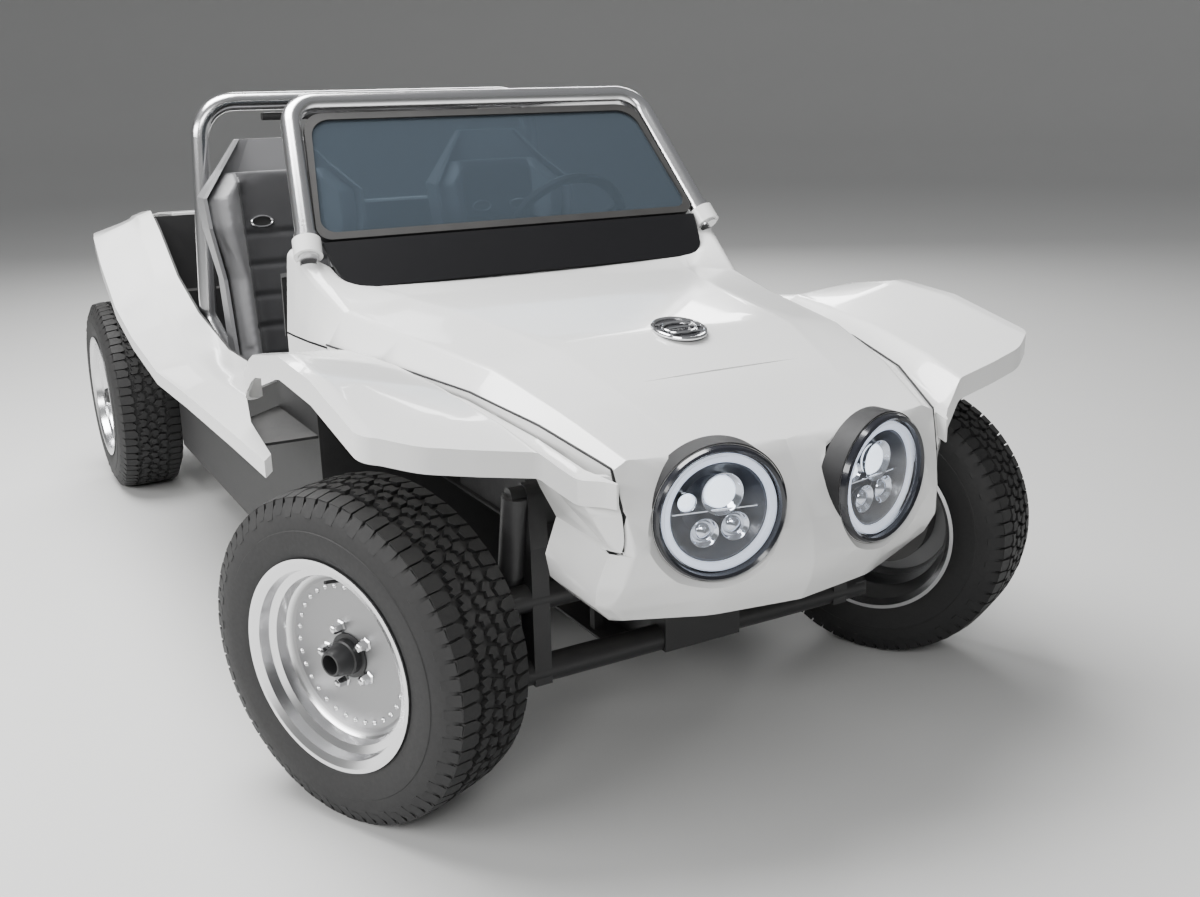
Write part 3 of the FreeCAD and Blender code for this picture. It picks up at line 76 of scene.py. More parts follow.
def length(name, text, default):
    """A length in metres that a user may change."""
    return FloatProperty(name=name, description=text, unit="LENGTH", default=default, min=0.0005, max=2.0)


class BuggyPaint(bpy.types.PropertyGroup):
    """Colours of the buggy's finishes."""

    gelcoat: colour("Gelcoat", "White of the moulded body", (0.80, 0.80, 0.79))
    cowl: colour("Cowl", "Black band under the windscreen", (0.010, 0.010, 0.011))
    tub: colour("Tub", "Textured black of the cockpit", (0.012, 0.012, 0.013))
    powder: colour("Powder coat", "Black of the chassis parts", (0.012, 0.012, 0.013))
    tube: colour("Tube", "Brushed metal of the screen frame and hoop", (0.74, 0.74, 0.75))
    alloy: colour("Alloy", "Polished metal of the rims", (0.82, 0.82, 0.83))
    rubber: colour("Rubber", "Tyres, seals and grip", (0.013, 0.013, 0.0135))
    fabric: colour("Seat fabric", "Cloth of the seat inserts", (0.028, 0.028, 0.031))
    shell: colour("Seat shell", "Grey vinyl of the seat's edges", (0.17, 0.17, 0.175))
    tint: colour("Screen tint", "Colour of the windscreen", (0.115, 0.15, 0.185))


class BuggySizes(bpy.types.PropertyGroup):
    """Sizes of the details that the frame doesn't hold."""

    lug_depth: length("Lug depth", "How far the tread blocks stand off the carcass", 0.010)
    pitches: IntProperty(name="Tread pitches", description="Repeats of the tread round a tyre", default=34,
                         min=12, max=60)
    rivets: IntProperty(name="Rivets", description="Rivets round each rim's disc", default=32, min=8, max=64)
    rivet_radius: length("Rivet radius", "Radius of a rivet's head", 0.0056)
    halo_radius: length("Halo radius", "Middle radius of the headlight's light ring", 0.0955)
    halo_width: length("Halo width", "Width of the headlight's light ring", 0.013)
    seam: length("Seam", "Radius of the piping sewn on the seats", 0.0026)


# ------------------------------------------------------------------ materials
GREY = (0.5, 0.5, 0.5, 1.0)


def feed(tree, node, feeds):
    """Links each socket to a node's input and sets each plain value."""
    for key, value in feeds.items():
        if isinstance(value, bpy.types.NodeSocket):
            tree.links.new(value, node.inputs[key])
        else:
            node.inputs[key].default_value = value


def put(tree, kind, feeds=None, **settings):
    """A new node with its inputs fed, and its attributes or inputs set by name."""
    node = tree.nodes.new(kind)
    for key, value in settings.items():
        if hasattr(node, key):
            setattr(node, key, value)
        else:
            node.inputs[key.replace("_", " ")].default_value = value
    feed(tree, node, feeds or {})
    return node


def maths(tree, operation, *terms, **settings):
    """The result of one sum on sockets or numbers."""
    return put(tree, "ShaderNodeMath", dict(enumerate(terms)), operation=operation, **settings).outputs[0]


def vector_maths(tree, operation, *terms):
    """A node that works on vectors."""
    return put(tree, "ShaderNodeVectorMath", dict(enumerate(terms)), operation=operation)


def ranged(tree, value, **limits):
    """A value brought from one range to another."""
    return put(tree, "ShaderNodeMapRange", {"Value": value}, **limits).outputs["Result"]


def noise_on(tree, feeds=None, **settings):
    """Noise laid out in the object's own space."""
    place = put(tree, "ShaderNodeTexCoord").outputs["Object"]
    return put(tree, "ShaderNodeTexNoise", {"Vector": place, **(feeds or {})}, **settings).outputs["Fac"]


def colour_mix(tree, mask, first, second):
    """A first colour that gives way to a second where the mask is 1."""
    return put(tree, "ShaderNodeMix", {0: mask, 6: first, 7: second}, data_type="RGBA").outputs[2]


def emboss(tree, shader, height, strength, distance):
    """Raises a shader's surface by a height."""
    raised = put(tree, "ShaderNodeBump", {"Height": height}, Strength=strength, Distance=distance)
    feed(tree, shader, {"Normal": raised.outputs["Normal"]})


def group_of(name, inputs, outputs):
    """A new shader node group, the sockets it is given and its output node."""
    tree = bpy.data.node_groups.new(name, "ShaderNodeTree")
    for label, default in inputs.items():
        kind = "NodeSocketColor" if isinstance(default, tuple) else "NodeSocketFloat"
        tree.interface.new_socket(name=label, in_out="INPUT", socket_type=kind).default_value = default
    for label in outputs:
        kind = "NodeSocketColor" if label == "Colour" else "NodeSocketFloat"
        tree.interface.new_socket(name=label, in_out="OUTPUT", socket_type=kind)
    return tree, tree.nodes.new("NodeGroupInput").outputs, tree.nodes.new("NodeGroupOutput")


def build_fine_grain():
    """Fine noise that varies colour and roughness and raises a little bump."""
    tree, given, outlet = group_of(
        "Fine grain",
        {"Colour": GREY, "Scale": 60.0, "Variation": 0.1, "Roughness": 0.4, "Roughness Range": 0.1},
        ("Colour", "Roughness", "Height"))
    fine = noise_on(tree, {"Scale": given["Scale"]}, Detail=6.0)
    broad = noise_on(tree, Scale=3.0, Detail=3.0)
    value = maths(tree, "MULTIPLY_ADD", maths(tree, "SUBTRACT", broad, 0.5), given["Variation"], 1.0)
    shade = put(tree, "ShaderNodeHueSaturation", {"Color": given["Colour"], "Value": value})
    centred = maths(tree, "SUBTRACT", fine, 0.5)
    rough = maths(tree, "MULTIPLY_ADD", centred, given["Roughness Range"], given["Roughness"])
    feed(tree, outlet, {"Colour": shade.outputs["Color"], "Roughness": rough, "Height": fine})


def build_worn_edges():
    """A mask that is 1 along convex edges, broken up by noise."""
    tree, given, outlet = group_of("Worn edges", {"Spread": 0.5}, ("Mask",))
    edge = ranged(tree, put(tree, "ShaderNodeNewGeometry").outputs["Pointiness"], From_Min=0.52,
                  From_Max=0.62)
    speckle = maths(tree, "MULTIPLY", edge, noise_on(tree, Scale=40.0, Detail=5.0))
    feed(tree, outlet, {"Mask": maths(tree, "MULTIPLY", speckle, given["Spread"])})


def build_road_dust():
    """A colour with pale dust laid on faces that look up."""
    tree, given, outlet = group_of(
        "Road dust", {"Colour": GREY, "Dust": (0.33, 0.31, 0.28, 1.0), "Amount": 0.2}, ("Colour", "Mask"))
    normal = put(tree, "ShaderNodeNewGeometry").outputs["Normal"]
    height = put(tree, "ShaderNodeSeparateXYZ", {0: normal}).outputs["Z"]
    amount = maths(tree, "MULTIPLY", ranged(tree, height, From_Min=-0.4, From_Max=1.0),
                   noise_on(tree, Scale=14.0, Detail=8.0))
    mask = maths(tree, "MULTIPLY", amount, given["Amount"], use_clamp=True)
    feed(tree, outlet, {"Colour": colour_mix(tree, mask, given["Colour"], given["Dust"]), "Mask": mask})


def build_cloth_weave():
    """The height and shade of a plain weave, in object space."""
    tree, given, outlet = group_of("Cloth weave", {"Threads": 420.0}, ("Height", "Shade"))
    place = put(tree, "ShaderNodeTexCoord").outputs["Object"]
    warp, weft = (put(tree, "ShaderNodeTexWave", {"Vector": place, "Scale": given["Threads"]},
                      bands_direction=axis, Distortion=1.2).outputs["Fac"] for axis in ("X", "Z"))
    cross = maths(tree, "MULTIPLY", warp, weft)
    feed(tree, outlet, {"Height": cross, "Shade": ranged(tree, cross, To_Min=0.7, To_Max=1.15)})


def place_group(tree, name, feeds=None, **values):
    """The outputs of one of the shared groups, with its inputs fed or set by name."""
    node = tree.nodes.new("ShaderNodeGroup")
    node.node_tree = bpy.data.node_groups[name]
    for key, value in values.items():
        socket = node.inputs[key.replace("_", " ")]
        socket.default_value = (*value, 1.0) if socket.type == "RGBA" else value
    feed(tree, node, feeds or {})
    return node.outputs


def new_material(name):
    """An empty node material, its tree and its shader."""
    material = bpy.data.materials.new(name)
    material.use_nodes = True
    return material, material.node_tree, material.node_tree.nodes["Principled BSDF"]


def finish_of(name, base, scale=60.0, variation=0.06, rough=0.4, rough_range=0.1, bump=0.0, metal=0.0,
              coat=0.0, dust=0.0, wear=0.0, worn=(0.5, 0.5, 0.5), **shader_values):
    """A grained finish with optional clear coat, dust and edge wear."""
    material, tree, shader = new_material(name)
    grain = place_group(tree, "Fine grain", Colour=base, Scale=scale, Variation=variation, Roughness=rough,
                        Roughness_Range=rough_range)
    tint = grain["Colour"]
    if wear:
        edges = place_group(tree, "Worn edges", Spread=wear)
        tint = colour_mix(tree, edges["Mask"], tint, (*worn, 1.0))
    if dust:
        tint = place_group(tree, "Road dust", {"Colour": tint}, Amount=dust)["Colour"]
    feed(tree, shader, {"Base Color": tint, "Roughness": grain["Roughness"], "Metallic": metal,
                        "Coat Weight": coat, "Coat Roughness": 0.04})
    feed(tree, shader, {key.replace("_", " "): value for key, value in shader_values.items()})
    if bump:
        emboss(tree, shader, grain["Height"], 1.0, bump)
    return material


def brushed_of(name, base, rough, stretch=(1.0, 1.0, 1.0)):
    """A brushed metal whose fine lines run along the direction that is stretched least."""
    material, tree, shader = new_material(name)
    place = put(tree, "ShaderNodeTexCoord").outputs["Object"]
    lines = put(tree, "ShaderNodeMapping", {"Vector": place, "Scale": stretch}).outputs["Vector"]
    noise = put(tree, "ShaderNodeTexNoise", {"Vector": lines}, Scale=30.0, Detail=8.0).outputs["Fac"]
    grain = place_group(tree, "Fine grain", Colour=base, Scale=25.0, Variation=0.08)
    feed(tree, shader, {"Base Color": grain["Colour"], "Metallic": 1.0,
                        "Roughness": ranged(tree, noise, To_Min=rough * 0.7, To_Max=rough * 1.5)})
    emboss(tree, shader, noise, 0.5, 0.00004)
    return material


def glass_of(name, tint, rough=0.01, weight=1.0):
    """Clear or tinted glass with faint smears in its gloss."""
    material, tree, shader = new_material(name)
    grain = place_group(tree, "Fine grain", Colour=tint, Scale=9.0, Variation=0.05, Roughness=rough,
                        Roughness_Range=rough * 1.5)
    feed(tree, shader, {"Transmission Weight": weight, "IOR": 1.45, "Base Color": grain["Colour"],
                        "Roughness": grain["Roughness"]})
    return material


def glow_of(name, tint, strength):
    """A lit diffuser whose glow varies a little."""
    material, tree, shader = new_material(name)
    glow = place_group(tree, "Fine grain", Colour=tint, Scale=90.0, Variation=0.1, Roughness=0.3)["Colour"]
    feed(tree, shader, {"Base Color": glow, "Emission Color": glow, "Emission Strength": strength})
    return material


def cloth_of(name, base):
    """Woven cloth with its threads in bump and shade."""
    material, tree, shader = new_material(name)
    weave = place_group(tree, "Cloth weave", Threads=260.0)
    grain = place_group(tree, "Fine grain", Colour=base, Scale=30.0, Variation=0.18, Roughness=0.82,
                        Roughness_Range=0.1)
    shade = put(tree, "ShaderNodeHueSaturation", {"Color": grain["Colour"], "Value": weave["Shade"]})
    feed(tree, shader, {"Base Color": shade.outputs["Color"], "Roughness": grain["Roughness"],
                        "Sheen Weight": 0.3, "Sheen Roughness": 0.5})
    emboss(tree, shader, weave["Height"], 0.7, 0.0006)
    return material


def rim_finish(corner, base):
    """Polished barrel and satin disc, told apart by distance from the wheel's axis."""
    material, tree, shader = new_material(f"rim alloy {corner}")
    middle, axis = wheel_axis(corner)
    place = put(tree, "ShaderNodeTexCoord").outputs["Object"]
    offset = vector_maths(tree, "SUBTRACT", place, middle).outputs[0]
    across = vector_maths(tree, "CROSS_PRODUCT", offset, axis).outputs[0]
    radius = vector_maths(tree, "LENGTH", across).outputs["Value"]
    rings = put(tree, "ShaderNodeTexNoise", noise_dimensions="1D", Scale=1400.0, Detail=4.0)
    feed(tree, rings, {"W": radius})
    rings = rings.outputs["Fac"]
    barrel = ranged(tree, radius, From_Min=0.150, From_Max=0.158)
    grain = place_group(tree, "Fine grain", Colour=base, Scale=30.0, Variation=0.08)
    tint = put(tree, "ShaderNodeHueSaturation",
               {"Color": grain["Colour"], "Value": ranged(tree, barrel, To_Min=0.42, To_Max=1.0)})
    gloss = ranged(tree, barrel, To_Min=0.42, To_Max=0.15)
    feed(tree, shader, {"Base Color": tint.outputs["Color"], "Metallic": 1.0,
                        "Roughness": maths(tree, "MULTIPLY_ADD", rings, 0.1, gloss)})
    emboss(tree, shader, rings, 0.4, 0.00004)
    return material


def soft_facets():
    """A modifier group that joins a panel's faces and keeps only its sharp edges sharp."""
    tree = bpy.data.node_groups.new("Soft facets", "GeometryNodeTree")
    tree.is_modifier = True
    for way in ("INPUT", "OUTPUT"):
        tree.interface.new_socket(name="Geometry", in_out=way, socket_type="NodeSocketGeometry")
    angle = put(tree, "GeometryNodeInputMeshEdgeAngle").outputs["Unsigned Angle"]
    steep = put(tree, "FunctionNodeCompare", {0: angle, 1: math.radians(44)}, data_type="FLOAT",
                operation="GREATER_THAN").outputs["Result"]
    chain = [tree.nodes.new("NodeGroupInput"),
             put(tree, "GeometryNodeRemoveAttribute", Name="custom_normal"),
             put(tree, "GeometryNodeMergeByDistance", Distance=0.00002),
             put(tree, "GeometryNodeSetShadeSmooth"),
             put(tree, "GeometryNodeSetShadeSmooth", {"Selection": steep, "Shade Smooth": False},
                 domain="EDGE"),
             tree.nodes.new("NodeGroupOutput")]
    for before, after in zip(chain, chain[1:]):
        tree.links.new(before.outputs[0], after.inputs[0])
    return tree


def dress(node, material):
    """Gives a CAD node one finish."""
    mesh = NODES[node].data
    mesh.materials.clear()
    mesh.materials.append(material)


# ------------------------------------------------------------------ mesh helpers
def mesh_piece(name, vertices, faces, material, sharp=35.0):
    """A new object from vertices and faces, smooth but for its sharp edges."""
    mesh = bpy.data.meshes.new(name)
    mesh.from_pydata([tuple(v) for v in vertices], [], faces)
    return finish_piece(name, mesh, material, sharp)


def finish_piece(name, mesh, material, sharp=35.0):
    """Links a mesh as an object with outward normals and its material."""
    form = bmesh.new()
    form.from_mesh(mesh)
    bmesh.ops.remove_doubles(form, verts=form.verts, dist=1e-6)
    bmesh.ops.recalc_face_normals(form, faces=form.faces)
    form.to_mesh(mesh)
    form.free()
    mesh.polygons.foreach_set("use_smooth", [True] * len(mesh.polygons))
    mesh.set_sharp_from_angle(angle=math.radians(sharp))
    for entry in material if isinstance(material, (list, tuple)) else [material]:
        mesh.materials.append(entry)
    obj = bpy.data.objects.new(name, mesh)
    bpy.context.scene.collection.objects.link(obj)
    return obj


def spun(first, second, angle):
    """A direction turned by an angle from a first one towards a second."""
    return first * math.cos(angle) + second * math.sin(angle)


def lathe(profile, axis_point, axis, across, steps=96):
    """Vertices and faces of a closed (along, radius) profile turned about an axis."""
    axis, across = axis.normalized(), across.normalized()
    side = axis.cross(across)
    vertices, faces = [], []
    count = len(profile)
    for step in range(steps):
        angle = 2 * math.pi * step / steps
        out = spun(across, side, angle)
        vertices += [axis_point + axis * along + out * radius for along, radius in profile]
    for step in range(steps):
        here, there = step * count, (step + 1) % steps * count
        faces += [(here + i, here + (i + 1) % count, there + (i + 1) % count, there + i)
                  for i in range(count)]
    return vertices, faces


def add_forms(store, vertices, faces):
    """Adds a form to a list of vertices and faces that becomes one mesh."""
    start = len(store[0])
    store[0].extend(vertices)
    store[1].extend(tuple(index + start for index in face) for face in faces)


def tube_between(start, end, radius, steps=16):
    """A closed round bar between two points."""
    axis = end - start
    across = axis.orthogonal()
    return lathe([(0, 0.0001), (0, radius), (axis.length, radius), (axis.length, 0.0001)], start, axis,
                 across, steps)


def bar_across(middle, along, up, axis, width, thick):
    """A thin flat bar's vertices and faces."""
    a, u, d = along * width / 2, up * thick / 2, axis * thick / 2
    vertices = [middle + a * i + u * j + d * k for i in (-1, 1) for j in (-1, 1) for k in (-1, 1)]
    return vertices, [(0, 1, 3, 2), (4, 6, 7, 5), (0, 4, 5, 1), (2, 3, 7, 6), (0, 2, 6, 4), (1, 5, 7, 3)]


def prism_faces(count):
    """The faces between two rings of as many corners, and over both ends."""
    return [tuple(range(count)), tuple(range(2 * count - 1, count - 1, -1)),
            *((i, (i + 1) % count, count + (i + 1) % count, count + i) for i in range(count))]


def swept(points, radius, sides=8):
    """A round tube's vertices and faces along a list of points."""
    vertices, faces = [], []
    count = len(points)
    if count < 2:
        return vertices, faces
    across = None
    for index, point in enumerate(points):
        way = (points[min(index + 1, count - 1)] - points[max(index - 1, 0)]).normalized()
        across = (way.orthogonal().normalized() if across is None
                  else (across - way * across.dot(way)).normalized())
        side = way.cross(across)
        for turn in range(sides):
            angle = 2 * math.pi * turn / sides
            vertices.append(point + spun(across, side, angle) * radius)
    for index in range(count - 1):
        here, there = index * sides, (index + 1) * sides
        faces += [(here + i, here + (i + 1) % sides, there + (i + 1) % sides, there + i)
                  for i in range(sides)]
    faces += [tuple(reversed(range(sides))), tuple(range((count - 1) * sides, count * sides))]
    return vertices, faces


def curve_through(knots, steps):
    """Points along a smooth curve through knots."""
    ends = [2 * knots[0] - knots[1]] + knots + [2 * knots[-1] - knots[-2]]
    points = []
    for a, b, c, d in zip(ends, ends[1:], ends[2:], ends[3:]):
        for step in range(steps):
            t = step / steps
            points.append(0.5 * (2 * b + (c - a) * t + (2 * a - 5 * b + 4 * c - d) * t ** 2
                                 + (3 * b - a - 3 * c + d) * t ** 3))
    return points + [knots[-1]]


def carried(name, form, material, body="chassis", sharp=35.0):
    """A piece made from a form's vertices and faces, carried by one body."""
    piece = mesh_piece(name, *form, material, sharp=sharp)
    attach(piece, body)
    return piece


def surface_of(node):
    """A search tree of a CAD node's faces."""
    mesh = NODES[node].data
    return BVHTree.FromPolygons([v.co for v in mesh.vertices], [tuple(f.vertices) for f in mesh.polygons])


def struck(obj, start, way):
    """Where a ray meets an object, and the surface's normal there."""
    hit, place, normal, _ = obj.ray_cast(Vector(start), Vector(way))
    if not hit:
        raise RuntimeError(f"nothing of {obj.name} lies ahead of {tuple(start)}")
    return place, normal


def wheel_axis(corner):
    """The wheel's middle point and its outward axis, at rest."""
    low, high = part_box(f"rim_{corner}")
    middle = (Vector(low) + Vector(high)) / 2
    axis = Vector(JOINTS[f"spin_{corner}"]["axis"]).normalized()
    if axis.x * (-1 if "right" in corner else 1) < 0:
        axis = -axis
    return middle, axis


# ------------------------------------------------------------------ operators
class BUGGY_OT_effects(bpy.types.Operator):
    """Make the shader groups that the finishes share"""

    bl_idname = "buggy.effects"
    bl_label = "Effects"

    def execute(self, context):
        for build in (build_fine_grain, build_worn_edges, build_road_dust, build_cloth_weave):
            build()
        return {"FINISHED"}


PANELS = ("hood_panel", "front_fender_right", "front_fender_left", "body_side_right", "body_side_left",
          "rear_deck")
GAP_REACH = 0.0095


class BUGGY_OT_finishes(bpy.types.Operator):
    """Give every frame part its finish"""

    bl_idname = "buggy.finishes"
    bl_label = "Finishes"

    def execute(self, context):
        paint = context.scene.buggy_paint
        gelcoat = finish_of("white gelcoat", paint.gelcoat, scale=35.0, variation=0.015, rough=0.22,
                            rough_range=0.05, bump=0.00006, coat=0.6)
        cowl = finish_of("black gelcoat", paint.cowl, scale=40.0, variation=0.1, rough=0.42, rough_range=0.08,
                         bump=0.00005, Specular_IOR_Level=0.12)
        tub = finish_of("textured black", paint.tub, scale=420.0, variation=0.15, rough=0.62, rough_range=0.2,
                        bump=0.0006, dust=0.08, wear=0.3, worn=(0.06, 0.06, 0.06))
        powder = finish_of("powder coat", paint.powder, scale=260.0, variation=0.12, rough=0.42,
                           rough_range=0.12, bump=0.0002, dust=0.1, wear=0.4, worn=(0.1, 0.1, 0.1))
        tube = brushed_of("brushed tube", paint.tube, 0.2, (1.0, 60.0, 60.0))
        rubber = finish_of("seal rubber", paint.rubber, scale=180.0, variation=0.15, rough=0.6,
                           rough_range=0.15, bump=0.0002, dust=0.1)
        shell = finish_of("seat vinyl", paint.shell, scale=300.0, variation=0.08, rough=0.45,
                          rough_range=0.12, bump=0.0003, wear=0.2, worn=(0.3, 0.3, 0.3))
        cast = finish_of("cast metal", (0.11, 0.11, 0.11), scale=150.0, variation=0.2, rough=0.6,
                         rough_range=0.2, bump=0.0006, metal=0.4, dust=0.35)
        engine = finish_of("cast alloy", (0.42, 0.42, 0.42), scale=160.0, variation=0.15, rough=0.48,
                           rough_range=0.2, bump=0.0004, metal=0.9, dust=0.2)
        shroud = finish_of("shroud paint", (0.02, 0.02, 0.02), scale=60.0, variation=0.1, rough=0.3,
                           rough_range=0.1, bump=0.0001, coat=0.3, dust=0.15)
        exhaust = brushed_of("exhaust steel", (0.42, 0.39, 0.36), 0.34, (60.0, 1.0, 60.0))
        lamp_black = finish_of("lamp black", (0.012, 0.013, 0.018), scale=80.0, variation=0.1, rough=0.18,
                               rough_range=0.06, bump=0.00003, coat=0.5)
        red = finish_of("red lens", (0.42, 0.012, 0.012), scale=500.0, variation=0.2, rough=0.16,
                        rough_range=0.08, bump=0.0008, coat=0.6)
        chrome = brushed_of("chrome", (0.83, 0.83, 0.84), 0.07)
        glass = glass_of("tinted screen", paint.tint, rough=0.01, weight=0.72)
        # Black painted shade for the panel faces inside the narrow gaps between panels.
        seam = finish_of("gap painted shade", (0.006, 0.006, 0.007), scale=90.0, variation=0.1, rough=0.7)
        facets = soft_facets()
        for node in PANELS:
            dress(node, gelcoat)
            # The second material is the black painted shade of the gaps between panels.
            NODES[node].data.materials.append(seam)
            NODES[node].modifiers.new("soft facets", "NODES").node_group = facets
            weighted = NODES[node].modifiers.new("weighted normals", "WEIGHTED_NORMAL")
            weighted.keep_sharp, weighted.weight = True, 60
        self.paint_gap_shade()
        for node, material in (
                ("cowl_band", cowl), ("cockpit_tub", tub), ("front_bulkhead", tub), ("dashboard", tub),
                ("windscreen_frame", tube), ("roll_hoop", tube), ("rear_bumper", tube),
                ("windscreen_gasket", rubber), ("steering_wheel", rubber), ("gear_lever", rubber),
                ("hoop_bar", powder), ("chassis_pan", powder), ("front_beam", powder), ("rear_arms", powder),
                ("fuel_tank", powder), ("steering_column", powder), ("windscreen_glass", glass),
                ("seat_shells", shell), ("transaxle", cast), ("knuckle_right", cast), ("knuckle_left", cast),
                ("engine", engine), ("fan_shroud", shroud), ("exhaust", exhaust), ("tail_lamps", red),
                ("hood_medallion", chrome), ("headlight_bezels", lamp_black)):
            dress(node, material)
        return {"FINISHED"}

    def paint_gap_shade(self):
        """Paints shade on the panel faces that face another panel across a narrow gap: they take the panel's
        black second material.
        """
        trees = {node: surface_of(node) for node in PANELS}
        for node in PANELS:
            mesh = NODES[node].data
            for tree in [tree for name, tree in trees.items() if name != node]:
                near = [tree.find_nearest(v.co, GAP_REACH)[0] is not None for v in mesh.vertices]
                for face in mesh.polygons:
                    start = face.center + face.normal * 0.0003
                    if (all(near[v] for v in face.vertices)
                            and tree.ray_cast(start, face.normal, GAP_REACH)[0]):
                        face.material_index = 1


RIM_HALF, RIM_DEPTH, RIVET_RING, STUD_RADIUS = 0.105, 0.062, 0.133, 0.056
# Closed (along, radius) profiles that stand on the disc and are turned about the wheel's axis.
LUG_NUT = [(0.0002, 0.0001), (0.0002, 0.0135), (0.002, 0.0135), (0.004, 0.0102), (0.017, 0.0098),
           (0.0215, 0.0078), (0.0238, 0.004), (0.0245, 0.0001)]
HUB_CAP = [(0.0003, 0.0001), (0.0003, 0.043), (0.003, 0.043), (0.004, 0.034), (0.016, 0.033),
           (0.018, 0.030), (0.030, 0.029), (0.046, 0.0245), (0.0495, 0.022), (0.0495, 0.0185),
           (0.044, 0.017), (0.022, 0.0155), (0.0215, 0.0001)]


class BUGGY_OT_wheels(bpy.types.Operator):
    """Polish the rims and add their rivets, caps and nuts"""

    bl_idname = "buggy.wheels"
    bl_label = "Wheels"

    def execute(self, context):
        paint, sizes = context.scene.buggy_paint, context.scene.buggy_sizes
        chrome = brushed_of("nut chrome", (0.8, 0.8, 0.81), 0.1)
        cap_black = finish_of("cap black", (0.016, 0.016, 0.017), scale=140.0, variation=0.15, rough=0.42,
                              rough_range=0.1, bump=0.0002)
        head = sizes.rivet_radius
        rivet = [(0.0002, 0.0001), (0.0002, head), (head * 0.45, head * 0.8), (head * 0.7, 0.0001)]
        for corner in CORNERS:
            wheel = f"wheel_{corner}"
            dress(f"rim_{corner}", rim_finish(corner, paint.alloy))
            middle, axis = wheel_axis(corner)
            lip = middle + axis * RIM_HALF
            disc = lip - axis * RIM_DEPTH
            side = axis.cross(UP)
            rivets, nuts = ([], []), ([], [])
            for index in range(sizes.rivets):
                out = spun(UP, side, 2 * math.pi * index / sizes.rivets)
                add_forms(rivets, *lathe(rivet, disc + out * RIVET_RING, axis, out, 10))
            piece = carried(f"rim_rivets_{corner}", rivets, chrome, wheel, 70)
            for index in range(5):
                out = spun(UP, side, math.radians(72 * index + 18))
                add_forms(nuts, *lathe(LUG_NUT, disc + out * STUD_RADIUS, axis, out, 6))
            bevel = carried(f"lug_nuts_{corner}", nuts, chrome, wheel, 25).modifiers.new("rounding", "BEVEL")
            bevel.width, bevel.segments, bevel.limit_method = 0.0008, 2, "ANGLE"
            piece = carried(f"hub_cap_{corner}", lathe(HUB_CAP, disc, axis, UP, 48), cap_black, wheel, 30)
            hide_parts(f"hub_{corner}")
            valve = tube_between(lip - axis * 0.052 + UP * 0.150, lip - axis * 0.018 + UP * 0.158, 0.0034, 12)
            carried(f"valve_{corner}", valve, cap_black, wheel)
        return {"FINISHED"}


# One pitch of tread, as blocks of (along the pitch, across the tread) corners.
TREAD_BLOCKS = [
    [(0.02, -1.0), (0.46, -1.0), (0.50, -0.72), (0.36, -0.56), (0.10, -0.60)],
    [(0.54, -1.0), (0.96, -0.97), (0.94, -0.64), (0.78, -0.52), (0.60, -0.62)],
    [(0.16, -0.50), (0.40, -0.46), (0.62, -0.50), (0.66, -0.34), (0.46, -0.22), (0.40, -0.32), (0.22, -0.30)],
    [(0.74, -0.42), (1.06, -0.44), (1.10, -0.24), (0.92, -0.12), (0.82, -0.22), (0.72, -0.20)],
    [(0.04, -0.18), (0.34, -0.18), (0.40, -0.04), (0.26, 0.10), (0.16, 0.00), (0.02, 0.02)],
    [(0.52, -0.12), (0.80, -0.10), (0.90, 0.06), (0.72, 0.18), (0.66, 0.06), (0.50, 0.06)],
    [(0.14, 0.20), (0.40, 0.14), (0.60, 0.24), (0.56, 0.40), (0.38, 0.34), (0.32, 0.46), (0.16, 0.42)],
    [(0.70, 0.28), (0.98, 0.18), (1.10, 0.32), (1.06, 0.48), (0.88, 0.42), (0.80, 0.52), (0.68, 0.46)],
    [(0.10, 0.56), (0.34, 0.56), (0.52, 0.66), (0.50, 1.0), (0.06, 1.0), (0.04, 0.70)],
    [(0.60, 0.60), (0.84, 0.58), (0.98, 0.72), (1.00, 0.97), (0.58, 1.0)],
]
TREAD_HALF = 0.0877
SIDEWALL = 0.107
LUG_FACES = [(0, 1, 3, 2), (2, 3, 5, 4), (4, 5, 7, 6), (6, 7, 11, 10), (10, 11, 9, 8), (8, 9, 1, 0),
             (0, 2, 4, 6, 10, 8), (1, 9, 11, 7, 5, 3)]


def crown(across):
    """How far the tread falls away from its middle towards the shoulders."""
    share = abs(across) / TREAD_HALF
    return 0.0015 * share ** 2 + 0.0045 * max(0.0, share - 0.8) / 0.2


